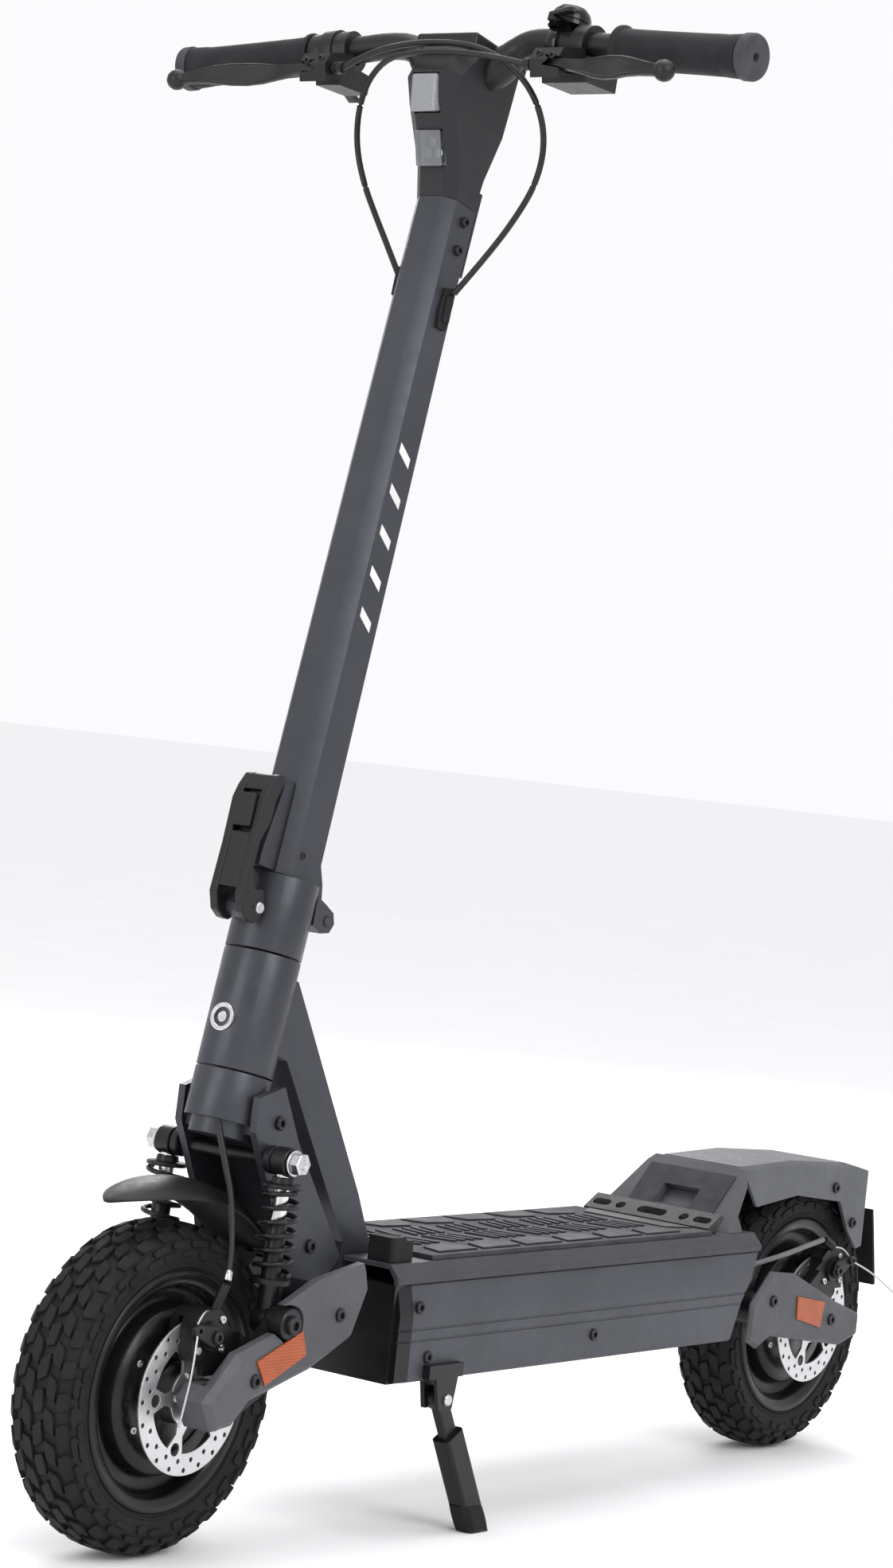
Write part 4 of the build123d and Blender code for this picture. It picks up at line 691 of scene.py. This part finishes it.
ROD = [(49, 6.0), (118, 6.0)]
PERCH = [(101, 3.0), (101, 15.4), (101.8, 16.2), (103.8, 16.2), (104.6, 15.2), (105, 9.2), (109, 8.6),
         (109.6, 7.4)]
EYE = [(-7, 5.0), (-7, 10.6), (-6.2, 11.4), (6.2, 11.4), (7, 10.6), (7, 5.0)]
piece("front_shock_rods", both([turned(ROD, shock_low, lean, 32)]), "rod_chrome", "fork", smooth_angle=40)
shock_tops = piece("front_shock_tops", both([turned(PERCH, shock_low, lean, 40),
                                             turned_ring(EYE, shock_high, LEFT, 40)]), "frame_black", "fork",
                   smooth_angle=40)
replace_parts(shock_tops, "front_shock_upper")
cross = piece("front_cross_tube", [turned([(-66, 4.8), (-66, 4.9), (66, 4.9), (66, 4.8)],
                                          side_point(849, 0, 305),
                                          LEFT, 32)] + both([turned([(43, 10.0), (43.8, 11), (49.2, 11),
                                                  (50, 10.0)],
                                                                    side_point(849, 0, 305), LEFT, 32)]),
              "frame_black", "fork", smooth_angle=40)
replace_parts(cross, "fork_bolts")
piece("front_cross_nuts", both([turned([(65.6, 9.4), (66.6, 10.2), (67.6, 10.2), (68, 9.6)],
                                       side_point(849, 0, 305),
                                       LEFT, 40),
                                turned([(68, 8.2), (68.6, 9.0), (75.2, 9.0), (76, 8.0), (76, 4.4),
                                        (74.6, 3.6)],
                                       side_point(849, 0, 305), LEFT, 6)]), "bolt_steel", "fork", 0.0004, 2)

# ------------------------------------------------------------------ brake cables
CABLE_R = 2.5
FRONT_CABLE = [(884, 16, 331), (885, 26, 306), (887, 38, 280), (892, 47, 252), (899, 54, 232),
               (906.3, 58.4, 216)]
REAR_CABLE = [(168, 44, 178), (140, 47, 183), (108, 50, 188), (72, 54, 194), (40, 57, 201),
              (15.6, 58.3, 205.0)]
LEFT_CABLE = [(57, 91, 1186.5), (64, 66, 1190), (69, 30, 1193), (68, -8, 1194), (60, -44, 1194),
              (47, -70, 1182),
              (34, -84, 1161), (22, -87, 1134), (13, -78, 1106), (8, -62, 1080), (7, -42, 1053),
              (8, -23, 1028)]
RIGHT_CABLE = [(57, -91, 1186.5), (61, -66, 1197), (62, -30, 1204), (60, 6, 1206), (55, 42, 1203),
               (45, 70, 1190),
               (33, 90, 1168), (20, 98, 1140), (8, 91, 1110), (0, 73, 1082), (-4, 50, 1050), (-4, 27, 1018)]
front_run = [side_point(*p) for p in FRONT_CABLE]
rear_run = [side_point(*p) for p in REAR_CABLE]
front_cable = piece("front_cable_sheath", tube_along(smooth_line(front_run, 12), CABLE_R, 16), "cable_black",
                    "fork", smooth_angle=60)
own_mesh(front_cable)
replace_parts(front_cable, "front_brake_cable")
rear_cable = piece("rear_cable_sheath", tube_along(smooth_line(rear_run, 12), CABLE_R, 16), "cable_silver",
                   "rear_arm", smooth_angle=60)
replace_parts(rear_cable, "rear_brake_cable")

handle_cables = [tube_along(smooth_line([column_point(*p) for p in route], 10), CABLE_R, 14)
                 for route in (LEFT_CABLE, RIGHT_CABLE)]
cables = piece("cockpit_cable_loops", handle_cables, "cable_black", "stem", smooth_angle=60)
grommets = piece("stem_grommets", [
    prism([(-10, 988), (2, 987), (4, 1000), (3, 1020), (-8, 1024), (-11, 1012)], 19.5, 23.8, column_place),
    prism([(-8, 994), (0, 993), (1, 1014), (-7, 1018)], 20, 26.3, column_place),
    prism([(3, 1010), (12, 1010), (13, 1034), (4, 1036)], -23.5, -19.5, column_place)],
    "rubber_black", "stem", 0.0012, 3)
stem_bolts = piece("stem_side_bolts", [hex_head(column_point(-3, 20.6, h), LEFT, 4.3, 3.0)
                                       for h in (1054, 1078)], "bolt_black", "stem")
for made in (cables, grommets, stem_bolts):
    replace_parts(made, "cockpit_cables")
piece("stem_low_bolt", hex_head(column_point(8, 22.0, 549), LEFT, 3.0, 0.9), "bolt_black", "stem")


def calliper_parts(end, body_x, tip, tail, body):
    """Actuating arm, cable clamp, inner wire and its loose tail, with the caliper's fittings."""
    hub = side_point(body_x, 63, 176)
    reach = tip - hub
    square = Vector((-reach.z, 0, reach.x)).normalized()
    ahead = reach.normalized()
    arm = []
    for low in (63.2, 67.0):
        lift = LEFT * (low * MM - hub.y)
        ring = [hub + square * 0.0088 + lift, hub - ahead * 0.0088 + lift, hub - square * 0.0088 + lift]
        ring += [tip - square * 0.0048 + lift, tip + ahead * 0.006 + lift, tip + square * 0.0048 + lift]
        arm.append(ring)
    arms = piece(end + "_caliper_arm", [lofted(arm)], "caliper", body, 0.0012, 3)
    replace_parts(arms, end + "_caliper_lever")
    screws = piece(end + "_caliper_arm_screws", [
        hex_head(hub + LEFT * 0.0039, LEFT, 5.2, 2.6), hex_head(tip + LEFT * 0.0039, LEFT, 4.2, 3.2)],
        "bolt_black", body)
    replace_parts(screws, end + "_caliper_lever")
    wire = piece(end + "_brake_wire", tube_along(smooth_line(tail, 10), 0.9, 8), "wire", body,
                 smooth_angle=60)
    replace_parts(wire, end + "_caliper_lever")


FRONT_CALIPER_X, REAR_CALIPER_X = 922.0, -4.0
calliper_parts("front", FRONT_CALIPER_X, side_point(946, 63, 183), [side_point(*p) for p in (
    (947, 68, 181), (953, 72, 158), (958, 72, 134), (961, 70, 112))], "front_caliper_lever")
calliper_parts("rear", REAR_CALIPER_X, side_point(-26, 63, 185), [side_point(*p) for p in (
    (-27, 68, 184), (-52, 70, 176), (-82, 72, 162), (-112, 72, 147))], "rear_caliper_lever")
piece("front_cable_ferrule", turned([(0, 2.9), (0.6, 3.3), (7, 3.3), (8, 2.6)],
                                    side_point(906.0, 58.2, 216.6),
                                   side_point(899, 54, 232) - side_point(906, 58, 216), 20), "bolt_steel",
      "front_arm")
BARE_WIRES = {"front": [(914, 54, 190), (925, 59, 197), (937, 62.5, 194), (946, 65, 185)],
              "rear": [(2, 62, 198), (-9, 63.5, 198), (-19, 65, 193), (-26, 66, 186)]}
for end, route in BARE_WIRES.items():
    piece(end + "_bare_wire", tube_along(smooth_line([side_point(*p) for p in route], 8), 0.9, 8), "wire",
          end + "_arm", smooth_angle=60)
for end, body_x in (("front", FRONT_CALIPER_X), ("rear", REAR_CALIPER_X)):
    piece(end + "_caliper_screws", [hex_head(side_point(body_x + dx, 59.9, z), LEFT, 3.2, 2.2)
                                    for dx, z in ((-14, 166), (14, 166), (-12, 188))], "bolt_steel", end + "_arm")

# ------------------------------------------------------------------ handlebar, grips, levers, bell
BAR_PATH = [(14, 0, 1192), (14.5, 18, 1193), (16, 38, 1206), (17.5, 54, 1221), (19.5, 78, 1222.5),
            (22, 120, 1216.5), (25.5, 200, 1208.7), (28.5, 273, 1201.8)]
bar_root = column_point(18, 60, 1222)
bar_end = column_point(29, 283, 1200.8)
bar_dir = (bar_end - bar_root).normalized()


def bar_radius(share):
    """Bar radius: swollen wings beside the display, plain tube further out."""
    swell = max(0.0, 1 - abs(share - 0.2) / 0.2)
    return 11.05 + 4.2 * (swell * swell * (3 - 2 * swell))


half_bar = tube_along(smooth_line([column_point(*p) for p in BAR_PATH], 12), bar_radius, 32)
bar = piece("handlebar_tube", both([half_bar]), "plastic_black", "stem", smooth_angle=60)
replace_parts(bar, "handlebar")

GRIP = [(91.9, 11.3), (91.9, 18.0), (92.6, 18.6), (95, 18.6), (96.2, 17.6), (97.2, 16.3), (110, 16.05),
        (140, 15.9),
        (175, 16.05), (196, 16.3), (197, 16.0), (198.2, 16.0), (199.2, 16.6), (211.6, 17.2), (213.2, 17.0),
        (213.9, 16), (213.9, 11.3)]
grip = piece("grip_sleeves", both([turned_ring(GRIP, bar_root, bar_dir, 64)]), "grip_rubber", "stem",
             smooth_angle=40)
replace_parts(grip, "grips")
CAP = [(214.3, 2.4), (214.3, 17.4), (215.2, 18.4), (221.6, 18.4), (223.2, 17.6), (224.0, 16.0), (224.2, 5.0),
       (223.4, 3.6), (219, 2.4)]
caps = piece("grip_end_caps", both([turned_ring(CAP, bar_root, bar_dir, 64)]), "cap_grey", "stem",
             smooth_angle=40)
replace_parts(caps, "bar_end_caps")

lever_root = column_point(56, 116, 1186)
lever_ball = column_point(83, 240, 1167)
lever_dir = (lever_ball - lever_root).normalized()
lever_rider = COLUMN_UP.cross(lever_dir)
lever_up = lever_dir.cross(lever_rider).normalized()
lever_rider = lever_up.cross(lever_dir).normalized()
# distance along the blade, its bow, half height and half depth
LEVER_STATIONS = [(-7, 0, 3.4, 5.0), (0, 0, 3.7, 6.0), (12, -1, 3.8, 6.0), (24, 0, 4.4, 5.0),
                  (36, 1.2, 6.0, 3.8),
                  (50, 1.0, 8.6, 3.4), (64, 0, 9.8, 3.2), (78, -2, 9.4, 3.2), (92, -4, 7.8, 3.4),
                  (104, -3, 6.2, 3.6), (114, -1, 5.0, 3.8), (122, 0, 4.6, 4.0)]
for end, flip in (("left", 1), ("right", -1)):
    rings = []
    for along, bow, tall, deep in LEVER_STATIONS:
        lip = min(2.2, tall * 0.3)
        hollow = 1.3 if 30 < along < 118 else 0.0
        shape = [(deep * 0.4, tall), (-deep * 0.5, tall), (-deep, tall - lip * 0.5),
                 (-deep + hollow, tall - lip * 1.3),
                 (-deep + hollow, -tall + lip * 1.3), (-deep, -tall + lip * 0.5), (-deep * 0.5, -tall),
                 (deep * 0.4, -tall), (deep, -tall + lip), (deep, tall - lip)]
        rings.append([lever_root + (lever_dir * along + lever_rider * (bow + d) + lever_up * h) * MM
                      for d, h in shape])
    ball = turned([(-8.5, 0.4), (-8.0, 3.0), (-6, 6.0), (-3.2, 7.9), (0, 8.5), (3.2, 7.9), (6, 6.0),
                   (8.0, 3.0),
                   (8.5, 0.4)], lever_ball, lever_dir, 32)
    parts = [lofted(rings), ball]
    if flip < 0:
        parts = [([mirrored(v) for v in verts], faces) for verts, faces in parts]
    blade = piece("brake_lever_blade_" + end, parts, "plastic_black", "brake_lever_" + end, 0.0006, 2, 45)
    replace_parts(blade, "brake_lever_" + end)

clamp_bits = []
for low, high in ((96, 101), (90, 96)):
    clamp_bits.append(turned([(0, 3.4), (0.5, 5.2), (high - low - 0.5, 5.2), (high - low, 3.4)],
                             column_point(57, low, 1186.5), LEFT, 12))
piece("cable_adjusters", both(clamp_bits), "bolt_black", "stem", 0.0004, 2)
piece("lever_pivot_screws", both([hex_head(lever_root + lever_up * 0.0082, lever_up, 4.4, 2.2)]),
      "bolt_black", "stem")
piece("clamp_screws", both([hex_head(column_point(66, 108, 1191), COLUMN_AHEAD, 2.8, 1.6),
                            hex_head(column_point(66.5, 121, 1189), COLUMN_AHEAD, 2.8, 1.6)]), "bolt_black",
      "stem")

BELL_AT = column_point(20, 95, 1232)
bell = piece("bell_dome", [turned([(0, 15.2), (0.6, 17.0), (3.4, 17.0), (4.0, 16.2), (4.4, 16.2), (5, 17.0),
                                   (9, 16.8),
                                  (13, 15.4), (16.4, 12.6), (18.4, 8.4), (19, 3), (19, 0.2)], BELL_AT,
                                  COLUMN_UP, 48),
                           turned([(-9, 6.6), (0.3, 6.6)], BELL_AT, COLUMN_UP, 24),
                           turned([(26, 13.8), (26.6, 14.2), (35.4, 14.2), (36, 13.8)], bar_root, bar_dir,
                                  40),
                           prism([(34, 92), (46, 92), (47, 98), (34, 98)], 1229, 1232.6,
                                 column_point)],
             "display", "stem", smooth_angle=40)
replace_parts(bell, "bell_body")
striker = piece("bell_thumb_lever", [prism([(38, 92), (44, 90), (47, 97), (53, 116), (51, 119), (46, 118),
                                            (41, 99)],
                                          1233, 1237, column_point)],
                "plastic_black", "bell_lever", 0.001, 3)
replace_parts(striker, "bell_lever")

# ------------------------------------------------------------------ display and lamps
case = piece("display_case", [prism([(50, -30), (50, 30), (-18, 36), (-18, -36)], 1206.4, 1219.2,
                                    column_point)],
             "plastic_black", "stem", 0.003, 4)
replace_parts(case, "display_panel")
piece("display_glass", [prism([(46, -26), (46, 26), (6, 29), (6, -29)], 1218.6, 1219.8, column_point)],
      "display",
              "stem", 0.0008, 3)


def slab_between(corners, half):
    """A block across the column from a side outline."""
    return prism(corners, -half, half, column_place)


upper = piece("position_lamp_diffuser", [slab_between([(48, 1151.6), (58.0, 1147.4), (66.2, 1176.4),
                                                       (56, 1180.6)],
                                                     12.2)], "lens_white", "stem", 0.0022, 4)
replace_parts(upper, "headlights")
lower = piece("headlamp_lens", [slab_between([(31.2, 1112.4), (33.0, 1111.4), (45.8, 1136.8), (44.0, 1137.6)],
                                             12.4)],
              "lens_clear", "stem", 0.0008, 3)
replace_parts(lower, "headlights")
piece("headlamp_reflector", [slab_between([(22.6, 1115.6), (26.0, 1114.2), (38.6, 1139.2), (35.0, 1141.2)],
                                                12.4)], "lamp_back", "stem", 0.0008, 2)
lamp_rise = (column_point(45.6, 0, 1136.6) - column_point(32.4, 0, 1111.6)).normalized()
lamp_out = lamp_rise.cross(LEFT).normalized()
if lamp_out.dot(COLUMN_AHEAD) < 0:
    lamp_out = -lamp_out
lamp_mid = column_point(31.2, 0, 1127.4)
leds = []
for across, up in ((-5, -3.5), (5, -3.5), (0, 5)):
    base = lamp_mid + LEFT * across * MM + lamp_rise * up * MM
    leds.append(turned([(0, 4.2), (1.0, 4.4), (3.6, 2.2), (4.4, 1.6), (4.6, 0.3)], base, lamp_out, 24))
piece("headlamp_leds", leds, "led", "stem", smooth_angle=50)

# ------------------------------------------------------------------ deck relief, screws and trim
MAT_Z = 226.0
RELIEF = 1.6


def deck_place(u, v, w):
    """Ahead of the rear axle, to the left, above the mat."""
    return side_point(u, v, MAT_Z + w)


relief = []
for k in range(6):
    start = 282 + 62 * k
    for flip in (1, -1):
        outer = [(start, 66), (start + 54, 66), (start + 46, 44), (start + 14, 38), (start, 50)]
        relief.append(prism([(u, v * flip) for u, v in outer], -0.3, RELIEF, deck_place))
        for rib in range(4):
            ahead = start + 6 + 12.5 * rib
            stripe = [(ahead, 32), (ahead + 5, 32), (ahead + 12, 3), (ahead + 7, 3)]
            relief.append(prism([(u, v * flip) for u, v in stripe], -0.3, RELIEF, deck_place))
piece("mat_relief_panels", relief, "mat_relief", "deck", 0.0006, 2)
piece("mat_heel_plate", [prism([(247, -56), (247, 56), (272, 44), (272, -44)], -0.3, 1.2, deck_place)],
      "plastic_black", "deck", 0.0005, 2)

PANEL_Y, FENDER_Y = 86.0, 46.0
PANEL_SECTION = [(79, 128), (84.6, 128), (86, 129.4), (86, 160), (85.2, 160.4), (85.2, 161.6), (86, 162),
                 (86, 169),
                 (85.2, 169.4), (85.2, 170.6), (86, 171), (86, 183), (80.9, 204.8), (80.2, 205.5),
                 (79, 205.5)]


def panel_tail(z):
    """Rear edge of the side panel: distance ahead of the rear axle at this height."""
    return 213 - (z - 128) * 0.4 if z < 163 else 199 - (z - 163) * 29 / 42.5


panel_rings = [[side_point(panel_tail(z), y, z) for y, z in PANEL_SECTION],
               [side_point(700, y, z) for y, z in PANEL_SECTION]]
panel = piece("deck_side_panels", both([lofted(panel_rings)]), "panel_grey", "deck", smooth_angle=25)
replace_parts(panel, "side_panels")
nose_rings = [[side_point(u, min(y, y + slope), z) for y, z in PANEL_SECTION] for u,
              slope in ((700, 0), (716, -1.6))]
piece("deck_panel_noses", both([lofted(nose_rings)]), "frame_black", "deck", smooth_angle=25)
screws = both([hex_head(side_point(u, PANEL_Y, v), LEFT, 5.0, 2.4) for u,
               v in ((693, 188), (676, 147), (437, 149))]
              + [hex_head(side_point(u, FENDER_Y, v), LEFT, 5.0, 2.4) for u, v in ((-20, 251), (-58, 216))])
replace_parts(piece("deck_hex_screws", screws, "bolt_black", "deck"), "deck_screws")
LEG_FACE, FRONT_COVER_FACE, REAR_COVER_FACE = 40.5, 83.6, 76.6
for name, face, radius, tall, body, spots in (
        ("fork_hex_screws", LEG_FACE, 5.6, 3.2, "fork", ((839, 332), (785, 234))),
        ("front_cover_screws", FRONT_COVER_FACE, 5.4, 3.0, "front_arm", ((795, 188), (893, 144))),
        ("rear_cover_screws", REAR_COVER_FACE, 5.4, 3.0, "rear_arm", ((128, 157), (19, 133)))):
    piece(name, both([hex_head(side_point(u, face, v), LEFT, radius, tall) for u, v in spots]), "bolt_black",
          body)
piece("front_shock_bosses", both([turned([(67, 5.2), (67, 12.6), (83.6, 12.6), (84.6, 11.6), (84.6, 7.4),
                                          (88, 7.2),
                                          (88.8, 6.4), (88.8, 3.5), (86.4, 3.3), (86.4, 0.2)],
                                         side_point(855, 0, 184), LEFT, 40)]), "bolt_black", "front_arm",
      smooth_angle=30)
piece("head_tube_ring", [turned_ring([(-1.5, 11.0), (0.9, 11.0), (1.4, 10.4), (1.4, 8.2), (0.9, 7.6),
                                      (-1.5, 7.6)],
                                     column_point(30.5, 0, 413), COLUMN_AHEAD, 48),
                         turned([(-1.5, 4.2), (0.7, 4.2), (1.2, 3.6)], column_point(30.5, 0, 413),
                                COLUMN_AHEAD, 32)], "chrome_ring", "deck")

bars = []
for k in range(5):
    foot = 735 + 34 * k
    face = 22.0 - 2.0 * (foot - 508) / 480 + 0.15
    bars.append(prism([(-7, foot), (9, foot + 9), (9, foot + 17), (-7, foot + 8)], face - 0.6, face + 0.25,
                      column_place))
piece("stem_side_stripes", bars, "stripe_white", "stem")

# ------------------------------------------------------------------ folding lever
LEVER_BODY = [(34, 491), (40, 486.5), (48, 486.5), (57, 491), (63.5, 504), (62.4, 543), (63.4, 579),
              (60, 590),
              (54.5, 600.5), (50, 602.4), (44, 602.4), (44.4, 596), (48.6, 582), (48.6, 566), (56, 548),
              (56.5, 520),
              (48, 512), (38, 514), (32.5, 504)]
lever = piece("fold_lever_body", [
    prism(LEVER_BODY, 8.8, 16.4, column_place), prism(LEVER_BODY, -16.4, -8.8, column_place),
    prism([(54.5, 509), (63.0, 509), (62.2, 543), (63.0, 553), (55, 553)], -9.4, 9.4, column_place),
    prism([(49.5, 548), (54.4, 548), (54.4, 590), (49.5, 590)], -9.4, 9.4, column_place),
    prism([(48.6, 587), (60.5, 587), (54.5, 600.3), (50, 602), (44, 602), (44.6, 596)], -9.4, 9.4,
          column_place)],
    "plastic_black", "fold_lever", 0.0014, 3)
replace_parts(lever, "fold_lever")
piece("fold_lever_pin", both([turned([(0, 4.6), (2.0, 4.6), (3.0, 3.8), (3.0, 0.3)],
                                     column_point(40, 16.2, 499),
                                     LEFT, 32)]), "bolt_steel", "fold_lever")

# ------------------------------------------------------------------ kickstand trim
stand_top = side_point(653, 85, 112)
stand_foot = side_point(594, 90, 0)
stand_run = stand_foot - stand_top
rings = []
for k in range(7):
    spot = stand_top + stand_run * (0.80 + 0.185 * k / 6)
    fat = 9.7 * (1.0 + 0.04 * sin(pi * k / 6))
    rings.append([spot + (LEFT * a + Vector((1, 0, 0)) * b * 1.5) * fat * MM
                  for a, b in ((1, 0.6), (0.6, 1), (-0.6, 1), (-1, 0.6), (-1, -0.6), (-0.6, -1), (0.6, -1),
                               (1, -0.6))])
piece("kickstand_boot", lofted(rings), "rubber_black", "kickstand", 0.001, 2)
piece("kickstand_pin", turned([(0, 4.8), (2.2, 4.8), (3.2, 4.0), (3.2, 0.3)], side_point(653, 92.5, 112),
                              LEFT, 32),
      "bolt_steel", "deck")

# ------------------------------------------------------------------ stage and light
FLOOR_HALF, FLOOR_Z = 40, -0.0005
floor_corners = [(x * FLOOR_HALF, y * FLOOR_HALF, FLOOR_Z) for x, y in ((-1, -1), (1, -1), (1, 1), (-1, 1))]
floor_mesh = mesh_from(floor_corners, [(0, 1, 2, 3)], "floor")
floor = bpy.data.objects.new("floor", floor_mesh)
bpy.context.scene.collection.objects.link(floor)
floor_paint = Paint("floor_pale")
floor_tone = floor_paint.ramp(floor_paint.noise(3, 2), (0.90, 0.90, 0.905), (0.915, 0.915, 0.92))
floor_mesh.materials.append(floor_paint.done(floor_tone, Roughness=0.9))
floor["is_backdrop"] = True

world = bpy.data.worlds.new("studio")
bpy.context.scene.world = world
world.use_nodes = True
world.node_tree.nodes["Background"].inputs["Color"].default_value = (0.965, 0.97, 0.985, 1)
world.node_tree.nodes["Background"].inputs["Strength"].default_value = 1.0


def lamp(name, at, aim, size, power, tint=(1, 1, 1)):
    data = bpy.data.lights.new(name, "AREA")
    data.shape = "RECTANGLE"
    data.size, data.size_y = size
    data.energy = power
    data.color = tint
    made = bpy.data.objects.new(name, data)
    bpy.context.scene.collection.objects.link(made)
    made.location = at
    made.rotation_euler = (Vector(aim) - Vector(at)).to_track_quat("-Z", "Y").to_euler()


lamp("key", (1.2, 3.2, 2.6), (0, 0, 0.5), (1.8, 2.4), 70)
lamp("front_fill", (3.4, -0.6, 1.6), (0.2, 0, 0.6), (1.4, 2.4), 38)
lamp("back_rim", (-2.4, -2.2, 2.4), (0, 0, 0.6), (1.6, 1.6), 40)
lamp("top", (0, 0, 3.6), (0, 0, 0), (2.4, 2.4), 45)

bpy.context.scene.view_settings.view_transform = "Standard"
low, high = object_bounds()
